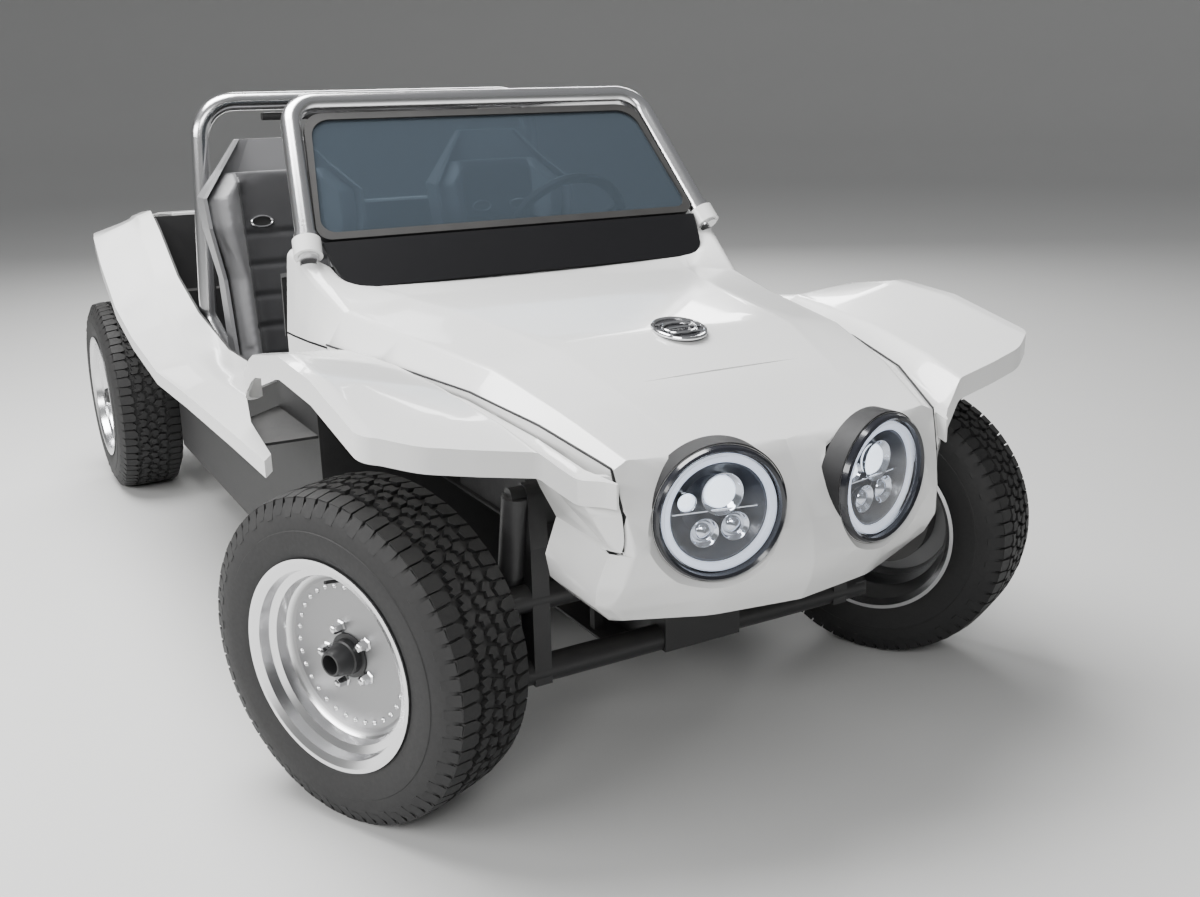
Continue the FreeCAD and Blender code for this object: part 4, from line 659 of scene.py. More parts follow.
class BUGGY_OT_tyres(bpy.types.Operator):
    """Build the off-road tyres with their tread blocks and shoulder lugs"""

    bl_idname = "buggy.tyres"
    bl_label = "Tyres"

    def execute(self, context):
        paint = context.scene.buggy_paint
        rubber = finish_of("tyre rubber", paint.rubber, scale=120.0, variation=0.25, rough=0.66,
                           rough_range=0.2, bump=0.0003, dust=0.07)
        for corner in CORNERS:
            form = self.tyre(corner, context.scene.buggy_sizes)
            tyre = carried(f"tyre_tread_{corner}", form, rubber, f"wheel_{corner}", 32)
            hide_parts(f"tyre_{corner}")
        return {"FINISHED"}

    def tyre(self, corner, sizes):
        """The carcass, tread blocks and shoulder lugs of one tyre."""
        middle, axis = wheel_axis(corner)
        side = axis.cross(UP)
        low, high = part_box(f"tyre_{corner}")
        radius = (high[2] - low[2]) / 2
        base = radius - sizes.lug_depth
        profile = [(-0.097, 0.1915), (-0.099, 0.2055), (-0.1015, 0.2085), (-0.104, 0.2265),
                   (-SIDEWALL, 0.2475), (-SIDEWALL + 0.0004, 0.2555), (-SIDEWALL + 0.002, 0.2570),
                   (-SIDEWALL + 0.0025, 0.2660), (-0.1005, 0.2840), (-0.0957, 0.2955), (-0.090, 0.3035),
                   (-0.078, base - 0.0015), (-0.05, base), (0, base + 0.0008)]
        profile += [(-x, r) for x, r in reversed(profile[:-1])]
        form = ([], [])
        add_forms(form, *lathe(profile, middle, axis, UP, 128))

        def spot(turn, across, height):
            """A point at a turn counted in pitches, a place across the tread and a distance from the axis."""
            return middle + axis * across + spun(UP, side, 2 * math.pi * turn / sizes.pitches) * height

        for pitch in range(sizes.pitches):
            for block in TREAD_BLOCKS:
                centre = sum(u for u, _ in block) / len(block)
                corners = [(u, w * TREAD_HALF) for u, w in block]
                top = [spot(pitch + u, across, radius - 0.0006 - crown(across)) for u, across in corners]
                foot = [spot(pitch + centre + (u - centre) * 1.1, across * 1.01,
                             base - 0.004 - 2 * crown(across))
                        for u, across in corners]
                add_forms(form, top + foot, prism_faces(len(block)))
            for hand in (-1, 1):
                for share, reach in ((0.26, 0.0), (0.76, 0.008)):
                    rows = ((0.19, radius - 0.008, 0.0882), (0.19, 0.2985, 0.0944),
                            (0.14, 0.2815 + reach, 0.1025 - 0.48 * reach), (0.12, 0.2785 + reach, 0.1002),
                            (0.17, radius - 0.014, 0.080), (0.12, 0.282 + reach, 0.0935))
                    lug = [spot(pitch + share + edge, hand * out, place)
                           for wide, place, out in rows for edge in (-wide, wide)]
                    add_forms(form, lug, LUG_FACES)
        return form


LAMP_Y, LAMP_Z = -1.740, 0.624
# Closed (along, radius) profiles about a headlight's axis, from its face.
LAMP_COVER = [(-0.0055, 0.1058), (0.002, 0.1040), (0.010, 0.086), (0.0165, 0.062), (0.0205, 0.034),
              (0.0220, 0.0001), (0.0195, 0.0001), (0.0180, 0.033), (0.0142, 0.060), (0.0080, 0.082),
              (0.0, 0.1000), (-0.0030, 0.1005)]
LAMP_SHROUD = [(-0.0455, 0.1210), (-0.0455, 0.1232), (-0.0028, 0.1232), (-0.0016, 0.1222), (-0.0016, 0.1210)]
# The reflectors behind a lens: place to the right and up, radius, and whether it is lit.
PROJECTORS = ((-0.012, 0.026, 0.038, True), (0.052, 0.018, 0.017, True), (-0.036, -0.034, 0.026, False),
              (0.020, -0.040, 0.026, False))


def lamp_axis(side):
    """The way a headlight looks, splayed outwards and a little down."""
    splay = math.radians(12)
    return Vector((side * math.sin(splay), -math.cos(splay), -math.sin(math.radians(1.5)))).normalized()


def lamp_face(side):
    """The middle of a headlight's face."""
    return Vector((side * 0.176, LAMP_Y, LAMP_Z))


class BUGGY_OT_headlights(bpy.types.Operator):
    """Fit the round headlights with halo rings, lenses and projectors"""

    bl_idname = "buggy.headlights"
    bl_label = "Headlights"

    def execute(self, context):
        sizes = context.scene.buggy_sizes
        halo_glow = glow_of("halo glow", (0.82, 0.88, 1.0), 0.9)
        beam_glow = glow_of("projector glow", (0.86, 0.93, 1.0), 2.2)
        dark = finish_of("lamp interior", (0.035, 0.042, 0.06), scale=60.0, variation=0.2, rough=0.3,
                         rough_range=0.1, bump=0.0001, coat=0.3)
        mirror = brushed_of("reflector", (0.86, 0.88, 0.92), 0.06)
        glass = glass_of("lamp glass", (0.94, 0.96, 1.0), rough=0.004)
        inner, outer = sizes.halo_radius - sizes.halo_width / 2, sizes.halo_radius + sizes.halo_width / 2
        ring = [(-0.010, inner), (-0.010, outer), (-0.003, outer), (-0.0005, outer - 0.002),
                (-0.0005, inner + 0.002), (-0.003, inner)]
        bowl = [(-0.046, 0.0001), (-0.046, 0.058), (-0.030, 0.078), (-0.011, inner - 0.001),
                (-0.010, inner - 0.004), (-0.028, 0.074), (-0.043, 0.055), (-0.043, 0.0001)]
        for side, label in SIDES:
            axis, face = lamp_axis(side), lamp_face(side)
            right = axis.cross(UP).normalized()
            up = right.cross(axis).normalized()
            carried(f"halo_ring_{label}", lathe(ring, face, axis, up), halo_glow)
            carried(f"lamp_bowl_{label}", lathe(bowl, face, axis, up, 64), dark)
            mirrors, beams = ([], []), ([], [])
            for x, z, size, lit in PROJECTORS:
                seat = face + right * x + up * z - axis * 0.040
                cone = [(0.0, size * 0.45), (0.001, size * 0.5), (0.018, size * 0.92), (0.019, size),
                        (0.016, size), (-0.002, size * 0.6)]
                lens = [(0.002, 0.0001), (0.002, size * 0.74), (0.012, size * 0.66), (0.018, size * 0.42),
                        (0.021, 0.0001)]
                add_forms(mirrors, *lathe(cone, seat, axis, up, 40))
                add_forms(beams if lit else mirrors, *lathe(lens, seat, axis, up, 40))
            add_forms(mirrors, *bar_across(face - axis * 0.024 - up * 0.002, right, up, axis, 0.158, 0.0022))
            carried(f"reflectors_{label}", mirrors, mirror)
            carried(f"projectors_{label}", beams, beam_glow)
            lens = carried(f"lamp_lens_{label}", lathe(LAMP_COVER, face, axis, up), glass, sharp=50)
            if side < 0:
                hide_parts("headlight_lenses")
        return {"FINISHED"}


# ------------------------------------------------------------------ seats
SEAT_X, INSERT_HALF = 0.335, 0.112
PIPING_STEPS = 44


def loose_parts(mesh):
    """The separate solids of a mesh, each as a new mesh."""
    form = bmesh.new()
    form.from_mesh(mesh)
    bmesh.ops.remove_doubles(form, verts=form.verts, dist=1e-5)
    parts, waiting = [], set(form.verts)
    while waiting:
        group, edge = set(), [waiting.pop()]
        while edge:
            vertex = edge.pop()
            group.add(vertex)
            near = {link.other_vert(vertex) for link in vertex.link_edges} & waiting
            waiting -= near
            edge.extend(near)
        order = {vertex: index for index, vertex in enumerate(group)}
        faces = [tuple(order[v] for v in face.verts) for face in form.faces if face.verts[0] in group]
        part = bpy.data.meshes.new("pad")
        part.from_pydata([tuple(v.co) for v in order], [], faces)
        parts.append(part)
    form.free()
    return parts


def shaped(obj):
    """A new mesh of an object with its modifiers applied."""
    graph = bpy.context.evaluated_depsgraph_get()
    return bpy.data.meshes.new_from_object(obj.evaluated_get(graph))


def swollen(mesh, voxel, shrink, cap):
    """A mesh remeshed finely, drawn in, and filled by a cloth simulation with a capped swell."""
    obj = bpy.data.objects.new("swelling", mesh)
    bpy.context.scene.collection.objects.link(obj)
    even = obj.modifiers.new("even", "REMESH")
    even.mode, even.voxel_size = "VOXEL", voxel
    fine = shaped(obj)
    obj.modifiers.clear()
    obj.data = fine
    smooth = obj.modifiers.new("soften", "SMOOTH")
    smooth.factor, smooth.iterations = 0.5, 8
    fine = shaped(obj)
    obj.modifiers.clear()
    for vertex, normal in zip(fine.vertices, [v.normal.copy() for v in fine.vertices]):
        vertex.co -= normal * shrink
    obj.data = fine
    start = [vertex.co.copy() for vertex in fine.vertices]
    cloth = obj.modifiers.new("cloth", "CLOTH")
    cloth.settings.use_pressure = True
    cloth.settings.uniform_pressure_force = 4.0
    cloth.settings.effector_weights.gravity = 0.0
    for step in range(1, 21):
        bpy.context.scene.frame_set(step)
    puffed = shaped(obj)
    obj.modifiers.clear()
    bpy.context.scene.frame_set(1)
    for vertex, home, now in zip(fine.vertices, start, puffed.vertices):
        move = now.co - home
        vertex.co = home + (move if move.length < cap else move * (cap / move.length))
    bpy.data.objects.remove(obj)
    return fine


def channelled(mesh, is_back, depth, spacing):
    """Presses sewn channels across the insert of a pad, and a groove down each side of it."""
    for vertex, normal in zip(mesh.vertices, [v.normal.copy() for v in mesh.vertices]):
        place = vertex.co
        across = abs(abs(place.x) - SEAT_X)
        facing = -normal.y if is_back else normal.z
        if facing < 0.25:
            continue
        line = place.z if is_back else place.y
        press = math.exp(-((across - INSERT_HALF) / 0.006) ** 2) * depth
        if across < INSERT_HALF and (not is_back or 0.42 < place.z < 0.98):
            phase = (line / spacing) % 1.0
            press += math.exp(-((min(phase, 1 - phase) * spacing) / 0.007) ** 2) * depth * 0.9
        vertex.co = place - normal * press


class BUGGY_OT_seats(bpy.types.Operator):
    """Pad the bucket seats with swollen, channelled cushions and harness slots"""

    bl_idname = "buggy.seats"
    bl_label = "Seats"

    def execute(self, context):
        paint = context.scene.buggy_paint
        vinyl = finish_of("bolster vinyl", paint.shell, scale=320.0, variation=0.08, rough=0.42,
                          rough_range=0.12, bump=0.0004, wear=0.15, worn=(0.34, 0.34, 0.34),
                          Sheen_Weight=0.1)
        cloth = cloth_of("seat cloth", paint.fabric)
        thread = finish_of("seam piping", (0.05, 0.05, 0.052), scale=500.0, variation=0.2, rough=0.6,
                           rough_range=0.1, bump=0.0002)
        steel = brushed_of("grommet steel", (0.75, 0.75, 0.76), 0.16)
        # Black painted shade for the inside of the harness slots.
        slot_shade_black = finish_of("slot painted shade", (0.01, 0.01, 0.01), scale=200.0, variation=0.2, rough=0.8)
        parts = loose_parts(NODES["seat_pads"].data)
        rights = [part for part in parts if max(v.co.x for v in part.vertices) < 0]
        for mesh in rights:
            tall = max(v.co.z for v in mesh.vertices) - min(v.co.z for v in mesh.vertices) > 0.4
            soft = swollen(mesh, 0.007, 0.004, 0.007)
            channelled(soft, tall, 0.006, 0.085)
            for offset, side in ((0.0, "right"), (2 * SEAT_X, "left")):
                copy = soft.copy()
                for vertex in copy.vertices:
                    vertex.co.x += offset
                name = f"seat_{'back' if tall else 'base'}_cushion_{side}"
                piece = finish_piece(name, copy, [vinyl, cloth], sharp=180)
                for face in piece.data.polygons:
                    across = abs(abs(face.center.x) - SEAT_X)
                    facing = -face.normal.y if tall else face.normal.z
                    if across < INSERT_HALF and facing > 0.1:
                        face.material_index = 1
                piece.modifiers.new("round", "SUBSURF").levels = 1
                piece.modifiers["round"].render_levels = 1
                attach(piece, "chassis")
                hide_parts("seat_pads")
                if tall:
                    self.harness_slots(piece, side, steel, slot_shade_black)
                self.piping(piece, side, tall, thread, context.scene.buggy_sizes.seam)
        return {"FINISHED"}

    def piping(self, cushion, side, tall, material, radius):
        """Round piping that follows the cushion's surface down both sides of its insert."""
        middle = SEAT_X if side == "left" else -SEAT_X
        _, front, foot = (min(v.co[i] for v in cushion.data.vertices) for i in range(3))
        _, back, top = (max(v.co[i] for v in cushion.data.vertices) for i in range(3))
        store = ([], [])
        for edge in (-1, 1):
            points = []
            x = middle + edge * INSERT_HALF
            for step in range(PIPING_STEPS + 1):
                share = 0.04 + 0.92 * step / PIPING_STEPS
                if tall:
                    start, way = Vector((x, front - 0.2, foot + (top - foot) * share)), ASTERN
                else:
                    start, way = Vector((x, front + (back - front) * share, top + 0.2)), -UP
                hit, place, normal, _ = cushion.ray_cast(start, way)
                if hit:
                    points.append(place + normal * 0.0006)
            add_forms(store, *swept(points, radius, 8))
        if store[0]:
            carried(f"piping_{'back' if tall else 'base'}_{side}", store, material)

    def harness_slots(self, cushion, side, steel, black):
        """Two oval slots with metal rims high on the seat's back, each with a black plug of painted shade
        that stands for the dark inside of the slot.
        """
        middle = SEAT_X if side == "left" else -SEAT_X
        rims, slot_shades = ([], []), ([], [])
        count, ring = 36, 8
        for edge in (-1, 1):
            place, normal = struck(cushion, (middle + edge * 0.062, -1.0, 0.965), ASTERN)
            normal = (normal - ASTERN).normalized()
            up = normal.cross(ACROSS).normalized()
            rim, slot_shade = [], []
            for step in range(count):
                angle = 2 * math.pi * step / count
                out = spun(ACROSS * 0.029, up * 0.0145, angle)
                for turn in range(ring):
                    tilt = 2 * math.pi * turn / ring
                    rim.append(place + out + out.normalized() * math.cos(tilt) * 0.0042
                               + normal * (math.sin(tilt) * 0.0036 + 0.001))
                out = spun(ACROSS * 0.028, up * 0.0135, angle)
                # A black plug laid on the cushion and dipping into it is painted shade for the slot's dark
                # inside.
                slot_shade += [place + out + normal * 0.0012, place + out * 0.9 - normal * 0.012]
            around = [(step * ring, (step + 1) % count * ring) for step in range(count)]
            add_forms(rims, rim, [(a + turn, a + (turn + 1) % ring, b + (turn + 1) % ring, b + turn)
                                  for a, b in around for turn in range(ring)])
            double = 2 * count
            add_forms(slot_shades, slot_shade, [tuple(range(0, double, 2)), tuple(range(double - 1, 0, -2)),
                                    *((i, i + 1, (i + 3) % double, (i + 2) % double)
                                      for i in range(0, double, 2))])
        carried(f"harness_rims_{side}", rims, steel)
        carried(f"harness_slots_{side}", slot_shades, black)


# ------------------------------------------------------------------ trim
# The hood's edge along its shut line, from the scuttle forward and down the nose: half-width, Y and height.
SHUT_LINE = [(0.5450, -0.828, 0.7960), (0.5072, -1.042, 0.797), (0.4452, -1.341, 0.787),
             (0.4022, -1.529, 0.762), (0.3502, -1.680, 0.716), (0.3449, -1.6909, 0.6777),
             (0.3423, -1.6985, 0.6528), (0.3425, -1.7025, 0.6056), (0.343, -1.7009, 0.5745)]


def shut_line(side):
    """The line between the hood and a front fender, laid on whichever of the two stands higher."""
    fender = "front_fender_right" if side < 0 else "front_fender_left"
    trees = ((surface_of("hood_panel"), -0.005), (surface_of(fender), 0.006))
    line = []
    for a, b in zip(SHUT_LINE, SHUT_LINE[1:]):
        for step in range(8):
            x, y, z = Vector(a).lerp(Vector(b), step / 8)
            if z > 0.72:  # below this the flanks stand upright, and nothing lies over the line
                hits = [tree.ray_cast(Vector((side * (x + shift), y, z + 0.05)), -UP, 0.08)[0]
                        for tree, shift in trees]
                z = min(max([hit.z for hit in hits if hit] or [z]) - 0.0008, z + 0.012)
            line.append(Vector((side * x, y, z)))
    return line


class BUGGY_OT_trim(bpy.types.Operator):
    """Add the oval hood badge, a black tube of painted shade along each shut line, and the lamp shrouds"""

    bl_idname = "buggy.trim"
    bl_label = "Trim"

    def execute(self, context):
        self.badge()
        # Black for the painted shade along the shut lines; the lamp shrouds use it too.
        shade_and_shroud_black = finish_of("shut line shade and shroud black", (0.006, 0.006, 0.007), scale=90.0, variation=0.1, rough=0.6)
        for side, label in SIDES:
            # A thin black tube along the shut line is painted shade that stands for the dark gap between hood
            # and fender.
            carried(f"shut_line_painted_shade_{label}", swept(shut_line(side), 0.0024, 8), shade_and_shroud_black)
            axis = lamp_axis(side)
            shroud = lathe(LAMP_SHROUD, lamp_face(side), axis, UP - axis * axis.z)
            carried(f"lamp_shroud_{label}", shroud, shade_and_shroud_black, sharp=30)
        return {"FINISHED"}

    def badge(self):
        """An oval badge of two rings and three bars on a dark plate, laid along the hood's fall."""
        chrome = brushed_of("badge chrome", (0.82, 0.82, 0.83), 0.09)
        dark = finish_of("badge enamel", (0.03, 0.03, 0.033), scale=90.0, variation=0.2, rough=0.25,
                         rough_range=0.1, coat=0.4)
        low, high = (Vector(corner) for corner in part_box("hood_medallion"))
        middle = (low + high) / 2
        fall = math.atan2(high.z - low.z - 0.012, high.y - low.y)
        along = Vector((0, -math.cos(fall), -math.sin(fall)))
        up = Vector((0, -math.sin(fall), math.cos(fall)))
        wide, deep = (high.x - low.x) / 2 - 0.001, (high.y - low.y) / 2 - 0.001
        count = 60

        def oval(half_wide, half_deep, lift, last=count):
            """Points round an oval at a lift above the badge's middle."""
            return [middle + spun(ACROSS * half_wide, along * half_deep, 2 * math.pi * i / count) + up * lift
                    for i in range(last)]

        store = ([], [])
        for half_wide, half_deep, thick, lift in ((wide - 0.005, deep - 0.005, 0.0042, 0.003),
                                                  (wide * 0.62, deep * 0.45, 0.003, 0.0045)):
            add_forms(store, *swept(oval(half_wide, half_deep, lift, count + 1), thick, 10))
        for share in (-0.55, 0.0, 0.55):
            reach = wide * 0.86 * math.sqrt(1 - share ** 2)
            points = [middle + ACROSS * reach * (i / 12 - 0.5) * 2 + along * deep * 0.8 * share
                      + up * (0.0035 + 0.002 * math.cos((i / 12 - 0.5) * math.pi)) for i in range(13)]
            add_forms(store, *swept(points, 0.0024, 8))
        badge = carried("hood_badge", store, chrome)
        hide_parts("hood_medallion")
        plate = oval(wide - 0.006, deep - 0.006, 0.002) + oval(wide - 0.006, deep - 0.006, -0.003)
        carried("badge_plate", (plate, prism_faces(count)), dark)


# ------------------------------------------------------------------ engine
CRANK, FAN = Vector((0, 0, 0.330)), Vector((0, 0, 0.620))
BELT_NEAR, BELT_FAR, PULLEY_NEAR = 1.5685, 1.5756, 1.5630
DISTRIBUTOR = Vector((-0.088, 1.505, 0.400))
# Closed (along, radius) profiles of the distributor's body and cap, from its foot up.
DISTRIBUTOR_BODY = [(0, 0.0001), (0, 0.020), (0.030, 0.020), (0.034, 0.029), (0.046, 0.030), (0.048, 0.028),
                    (0.048, 0.0001)]
DISTRIBUTOR_CAP = [(0.048, 0.0001), (0.048, 0.030), (0.062, 0.030), (0.072, 0.024), (0.074, 0.0001)]
# The fuel hose's way over the left half of the engine, from its middle to the carburettor.
HOSE_HALF = [(0, 1.532, 0.497), (0.1, 1.522, 0.492), (0.205, 1.452, 0.474), (0.2460, 1.442, 0.470)]


def engine_zone(place):
    """The finish that a spot of the engine has: 0 alloy, 1 iron, 2 black tin, 3 rubber, 4 bright."""
    wide = abs(place.x)
    flat = Vector((place.x, 0, place.z))
    from_crank, from_fan = (flat - CRANK).length, (flat - FAN).length
    if place.y > PULLEY_NEAR:
        on_belt = BELT_NEAR < place.y < BELT_FAR and from_crank > 0.0764 and from_fan > 0.0464
        return 3 if on_belt else 4
    if wide < 0.06 and from_fan < 0.05:
        return 2
    if wide > 0.22 and place.z > 0.521:
        return 4
    if 0.3905 < place.z < 0.397 and wide > 0.1 or wide > 0.3185 and place.z < 0.39:
        return 2
    return 1 if 0.134 < wide < 0.2615 and place.z < 0.39 else 0


class BUGGY_OT_engine(bpy.types.Operator):
    """Finish the engine by its parts and add its leads, hoses and linkage"""

    bl_idname = "buggy.engine"
    bl_label = "Engine"

    def execute(self, context):
        paint = context.scene.buggy_paint
        iron = finish_of("barrel iron", (0.075, 0.072, 0.07), scale=220.0, variation=0.25, rough=0.62,
                         rough_range=0.15, bump=0.0004, metal=0.5, dust=0.2)
        tin = finish_of("black tin", (0.02, 0.02, 0.021), scale=70.0, variation=0.1, rough=0.3,
                        rough_range=0.1, bump=0.0001, coat=0.3, dust=0.12)
        belt = finish_of("belt rubber", paint.rubber, scale=400.0, variation=0.2, rough=0.6, bump=0.0002)
        bright = brushed_of("bright metal", (0.78, 0.78, 0.79), 0.16)
        sleeve = finish_of("lead sleeve", (0.016, 0.016, 0.018), scale=300.0, variation=0.15, rough=0.4,
                           bump=0.0001)
        mesh = NODES["engine"].data
        for material in (iron, tin, belt, bright):
            mesh.materials.append(material)
        for face in mesh.polygons:
            face.material_index = engine_zone(face.center)
        self.ignition(bright, sleeve)
        half = [Vector(knot) for knot in HOSE_HALF]
        knots = [Vector((-knot.x, knot.y, knot.z)) for knot in reversed(half[1:])] + half
        carried("fuel_hose", swept(curve_through(knots, 10), 0.0048, 12), sleeve, sharp=60)
        carried("engine_hardware", self.hardware(), bright, sharp=30)
        return {"FINISHED"}

    def ignition(self, bright, sleeve):
        """The distributor and the leads from its towers to the plug caps."""
        brown = finish_of("distributor cap", (0.055, 0.022, 0.012), scale=120.0, variation=0.15, rough=0.35,
                          bump=0.0001, coat=0.3)
        carried("distributor_body", lathe(DISTRIBUTOR_BODY, DISTRIBUTOR, UP, ASTERN, 32), bright, sharp=30)
        towers, leads = ([], []), ([], [])
        add_forms(towers, *lathe(DISTRIBUTOR_CAP, DISTRIBUTOR, UP, ASTERN, 32))
        plugs = [(side, Vector((side * 0.232, y, 0.3985))) for side in (-1, 1) for y in (1.336, 1.405)]
        for index, (side, plug) in enumerate(plugs):
            top = DISTRIBUTOR + spun(ACROSS, ASTERN, math.pi * (index + 0.5) / 2) * 0.017 + UP * 0.070
            add_forms(towers, *tube_between(top, top + UP * 0.014, 0.0055, 12))
            add_forms(towers, *tube_between(plug - UP * 0.0018, plug + UP * 0.020, 0.0085, 12))
            knots = [top + UP * 0.012, top + UP * 0.036, Vector((side * 0.105, 1.470, 0.470)),
                     Vector((side * 0.175, plug.y + 0.03, 0.440)), plug + UP * 0.034, plug + UP * 0.018]
            add_forms(leads, *swept(curve_through(knots, 9), 0.0034, 10))
        carried("distributor_cap", towers, brown)
        carried("ignition_leads", leads, sleeve, sharp=60)

    def hardware(self):
        """The throttle rod, the carburettors' and valve covers' nuts, and the pulleys' nuts."""
        form = ([], [])
        add_forms(form, *tube_between(Vector((-0.246, 1.4045, 0.505)),
                                      Vector((0.246, 1.4045, 0.505)), 0.0035, 12))
        for side, _ in SIDES:
            for y in (1.419, 1.449):
                bolt = Vector((side * 0.276, y, 0.5930))
                add_forms(form, *tube_between(bolt - UP * 0.001, bolt + UP * 0.009, 0.0052, 6))
            for y in (1.305, 1.436):
                clip = Vector((side * 0.3496, y, 0.330))
                add_forms(form, *tube_between(clip, clip + ACROSS * side * 0.006, 0.008, 6))
        for height, y, radius in ((CRANK.z, 1.5855, 0.01488), (FAN.z, 1.5795, 0.01054)):
            nut = Vector((0, y, height))
            add_forms(form, *tube_between(nut, nut + ASTERN * 0.009, radius, 6))
        return form


# ------------------------------------------------------------------ cockpit
# The dials along the dashboard's left half: place across, height and radius.
DIALS = ((0.335, 0.862, 0.052), (0.225, 0.862, 0.030), (0.445, 0.862, 0.030), (0.145, 0.862, 0.030))
TOGGLE = [(0, 0.0001), (0, 0.009), (0.003, 0.0085), (0.005, 0.004), (0.020, 0.0032), (0.022, 0.0001)]
TOGGLES_X = (0.205, 0.270, 0.400, 0.465)  # two each side of the steering column
NEEDLE_TURN = -2.2
PEDALS = ((0.215, 0.060), (0.310, 0.060), (0.400, 0.046))
PEDAL_TALL = 0.064


class BUGGY_OT_cockpit(bpy.types.Operator):
    """Add gauges, switches and pedals"""

    bl_idname = "buggy.cockpit"
    bl_label = "Cockpit"

    def execute(self, context):
        bezel = brushed_of("gauge bezel", (0.78, 0.78, 0.79), 0.12)
        dial = finish_of("gauge dial", (0.012, 0.012, 0.013), scale=200.0, variation=0.1, rough=0.5)
        mark = finish_of("gauge marks", (0.8, 0.8, 0.78), scale=200.0, variation=0.05, rough=0.5)
        rubber = finish_of("pedal rubber", (0.02, 0.02, 0.02), scale=300.0, variation=0.2, rough=0.7,
                           bump=0.0003)
        steel = finish_of("pedal arm", (0.03, 0.03, 0.032), scale=140.0, variation=0.15, rough=0.4,
                          bump=0.0002)
        rings, dials, marks = ([], []), ([], []), ([], [])
        dash = NODES["dashboard"]
        for x, z, size in DIALS:
            place, normal = struck(dash, (x, 0.2, z), -ASTERN)
            up = normal.cross(ACROSS).normalized()
            ring = [(0, size * 0.86), (0, size), (0.004, size), (0.007, size * 0.96), (0.007, size * 0.9),
                    (0.004, size * 0.86)]
            face = [(0, 0.0001), (0, size * 0.87), (0.0022, size * 0.87), (0.0022, 0.0001)]
            add_forms(rings, *lathe(ring, place, normal, up, 48))
            add_forms(dials, *lathe(face, place, normal, up, 48))
            strokes = [(math.radians(-130 + 26 * tick), 0.0024, 0.76, 0.13, 0.0013) for tick in range(11)]
            for turn, lift, out, long, thick in (*strokes, (NEEDLE_TURN, 0.0034, 0.3, 0.66, 0.0018)):
                way = spun(up, ACROSS, turn)
                add_forms(marks, *bar_across(place + normal * lift + way * size * out, way, way.cross(normal),
                                             normal, size * long, thick))
        for x in TOGGLES_X:
            place, normal = struck(dash, (x, 0.2, 0.797), -ASTERN)
            add_forms(rings, *lathe(TOGGLE, place, normal, ACROSS, 16))
        carried("gauge_bezels", rings, bezel, sharp=30)
        carried("gauge_dials", dials, dial, sharp=30)
        carried("gauge_marks", marks, mark, sharp=30)
        pads, arms = ([], []), ([], [])
        for x, wide in PEDALS:
            place, _ = struck(NODES["front_bulkhead"], (x, -0.5, 0.44), -ASTERN)
            hinge = place - ASTERN * 0.001
            tread = hinge + Vector((0, 0.095, -0.115))
            add_forms(arms, *swept(curve_through([hinge, hinge + ASTERN * 0.055, tread], 8), 0.0065, 10))
            add_forms(pads, *self.pad(tread, wide))
        carried("pedal_arms", arms, steel, sharp=50)
        carried("pedal_pads", pads, rubber, sharp=30)
        return {"FINISHED"}

    def pad(self, middle, wide):
        """A ribbed pedal pad's vertices and faces."""
        face = Vector((0, 0.84, 0.54)).normalized()
        lean = ACROSS.cross(face)
        form = ([], [])
        add_forms(form, *bar_across(middle + face * 0.005, ACROSS, lean, face, wide, 0.010))
        for low, high, share in ((0.0, 0.009, 1.0), (0.009, 0.0115, 0.9)):
            corners = [middle + ACROSS * (i * wide / 2 * share)
                       + lean * (j * PEDAL_TALL / 2 * share) + face * lift
                       for lift in (low, high) for i, j in ((-1, -1), (1, -1), (1, 1), (-1, 1))]
            add_forms(form, corners, prism_faces(4))
        for rib in range(5):
            place = middle + lean * (PEDAL_TALL * 0.16 * (rib - 2)) + face * 0.0120
            add_forms(form, *bar_across(place, ACROSS, lean, face, wide * 0.8, 0.0040))
        return form


# ------------------------------------------------------------------ studio
CAMERA_PLACE = Vector((-1.2996, -3.3366, 1.3119))
CAMERA_YAW, CAMERA_PITCH, CAMERA_ROLL, CAMERA_LENS = 29.305, 16.370, -1.191, 37.11


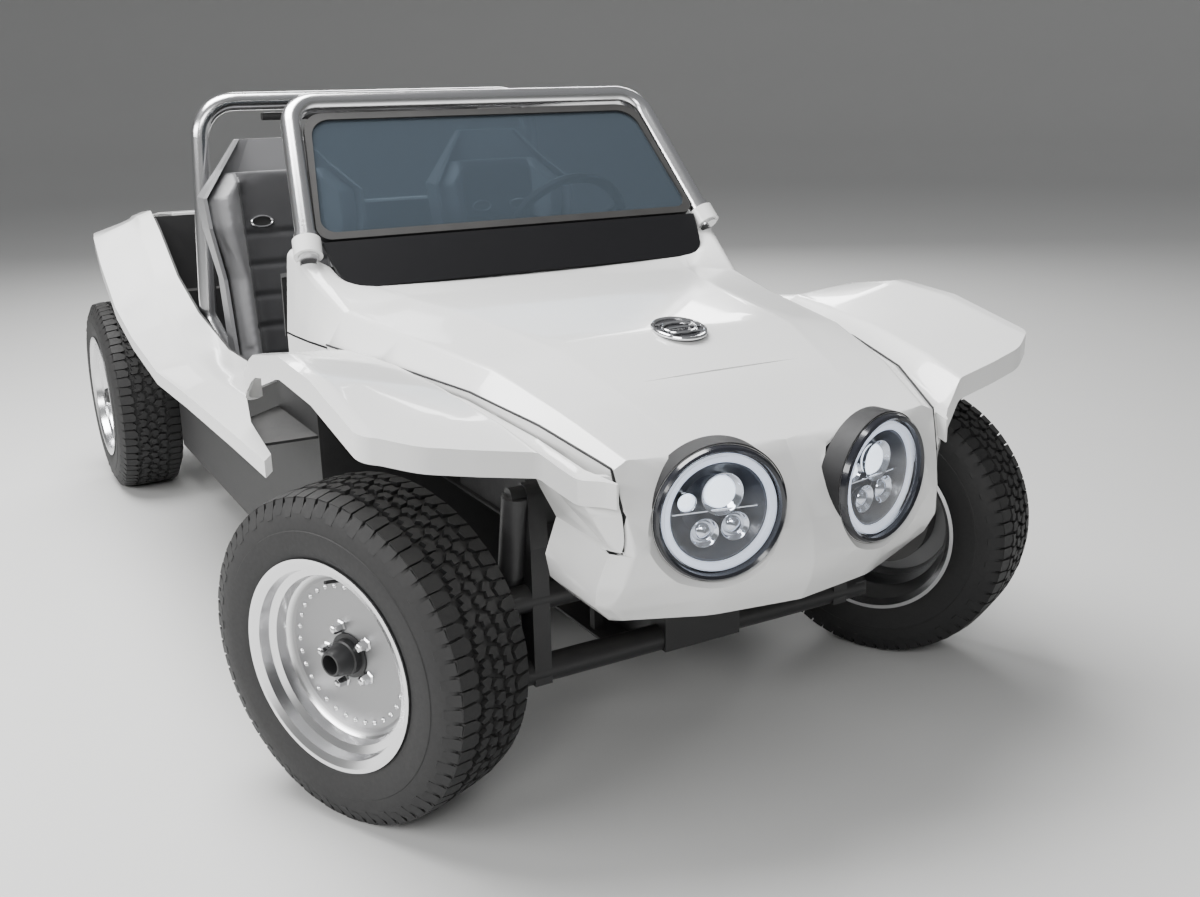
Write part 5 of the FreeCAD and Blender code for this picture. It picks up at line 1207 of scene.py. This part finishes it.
class BUGGY_OT_studio(bpy.types.Operator):
    """Set up the camera, the pale floor and the soft lights"""

    bl_idname = "buggy.studio"
    bl_label = "Studio"

    def execute(self, context):
        scene = context.scene
        yaw, pitch, roll = (math.radians(v) for v in (CAMERA_YAW, CAMERA_PITCH, CAMERA_ROLL))
        right = Vector((math.cos(yaw), -math.sin(yaw), 0))
        ahead = Vector((math.sin(yaw) * math.cos(pitch), math.cos(yaw) * math.cos(pitch), -math.sin(pitch)))
        up = right.cross(ahead)
        turned_right = right * math.cos(roll) + up * math.sin(roll)
        turned_up = up * math.cos(roll) - right * math.sin(roll)
        data = bpy.data.cameras.new("camera")
        data.lens, data.sensor_width, data.clip_end = CAMERA_LENS, 36.0, 200.0
        camera = bpy.data.objects.new("camera", data)
        turn = Matrix((turned_right, turned_up, -ahead)).transposed().to_4x4()
        camera.matrix_world = Matrix.Translation(CAMERA_PLACE) @ turn
        scene.collection.objects.link(camera)
        scene.camera = camera
        self.floor()
        world = bpy.data.worlds.new("studio")
        scene.world = world
        world.use_nodes = True
        backdrop = world.node_tree.nodes["Background"]
        backdrop.inputs["Color"].default_value = (0.86, 0.87, 0.89, 1.0)
        backdrop.inputs["Strength"].default_value = 0.3
        for name, place, target, width, depth, power in (
                ("overhead", (-1.0, 0.3, 4.6), (0, -0.2, 0.5), 2.6, 3.2, 520),
                ("front fill", (-2.6, -5.2, 3.2), (0, -1.2, 0.6), 2.6, 1.4, 120),
                ("side strip", (-5.0, -1.0, 2.6), (0, -0.2, 0.5), 4.5, 1.2, 210),
                ("back strip", (2.5, 4.6, 3.2), (0, 0.5, 0.6), 4.0, 1.2, 200)):
            light = bpy.data.lights.new(name, "AREA")
            light.shape, light.size, light.size_y, light.energy = "RECTANGLE", width, depth, power
            lamp = bpy.data.objects.new(name, light)
            lamp.location = place
            lamp.rotation_mode = "QUATERNION"
            lamp.rotation_quaternion = (Vector(target) - Vector(place)).to_track_quat("-Z", "Y")
            scene.collection.objects.link(lamp)
        return {"FINISHED"}

    def floor(self):
        """A round pale floor whose far edge curves up into a backdrop."""
        pale = finish_of("studio floor", (0.62, 0.62, 0.61), scale=3.0, variation=0.02, rough=0.75,
                         rough_range=0.05)
        rings = [(0.0001, 0.0), (6.0, 0.0), (14.0, 0.0), (17.0, 0.35), (19.0, 1.4), (20.2, 3.2), (20.6, 6.0),
                 (20.6, 9.0)]
        vertices, faces = [], []
        steps = 72
        for radius, height in rings:
            vertices += [spun(ACROSS, ASTERN, 2 * math.pi * i / steps) * radius + UP * height
                         for i in range(steps)]
        for ring in range(len(rings) - 1):
            a, b = ring * steps, (ring + 1) * steps
            faces += [(a + i, a + (i + 1) % steps, b + (i + 1) % steps, b + i) for i in range(steps)]
        floor = mesh_piece("floor", vertices, faces, pale, sharp=60)


class BUGGY_PT_panel(bpy.types.Panel):
    """Colours, sizes and build steps of the buggy"""

    bl_idname = "BUGGY_PT_panel"
    bl_label = "Dune Buggy"
    bl_space_type = "VIEW_3D"
    bl_region_type = "UI"
    bl_category = "Buggy"

    def draw(self, context):
        layout = self.layout
        for group in (context.scene.buggy_paint, context.scene.buggy_sizes):
            box = layout.box()
            for name in group.__annotations__:
                box.prop(group, name)
        for operator in OPERATORS:
            layout.operator(operator.bl_idname)


OPERATORS = (BUGGY_OT_effects, BUGGY_OT_studio, BUGGY_OT_finishes, BUGGY_OT_wheels, BUGGY_OT_tyres,
             BUGGY_OT_headlights, BUGGY_OT_seats, BUGGY_OT_trim, BUGGY_OT_engine, BUGGY_OT_cockpit)
CLASSES = (BuggyPaint, BuggySizes, *OPERATORS, BUGGY_PT_panel)


def register():
    for cls in CLASSES:
        bpy.utils.register_class(cls)
    bpy.types.Scene.buggy_paint = PointerProperty(type=BuggyPaint)
    bpy.types.Scene.buggy_sizes = PointerProperty(type=BuggySizes)


def unregister():
    del bpy.types.Scene.buggy_sizes
    del bpy.types.Scene.buggy_paint
    for cls in reversed(CLASSES):
        bpy.utils.unregister_class(cls)


def main():
    """Builds every piece in order."""
    register()
    for operator in OPERATORS:
        group, name = operator.bl_idname.split(".")
        getattr(getattr(bpy.ops, group), name)()


if __name__ == "__main__":
    main()
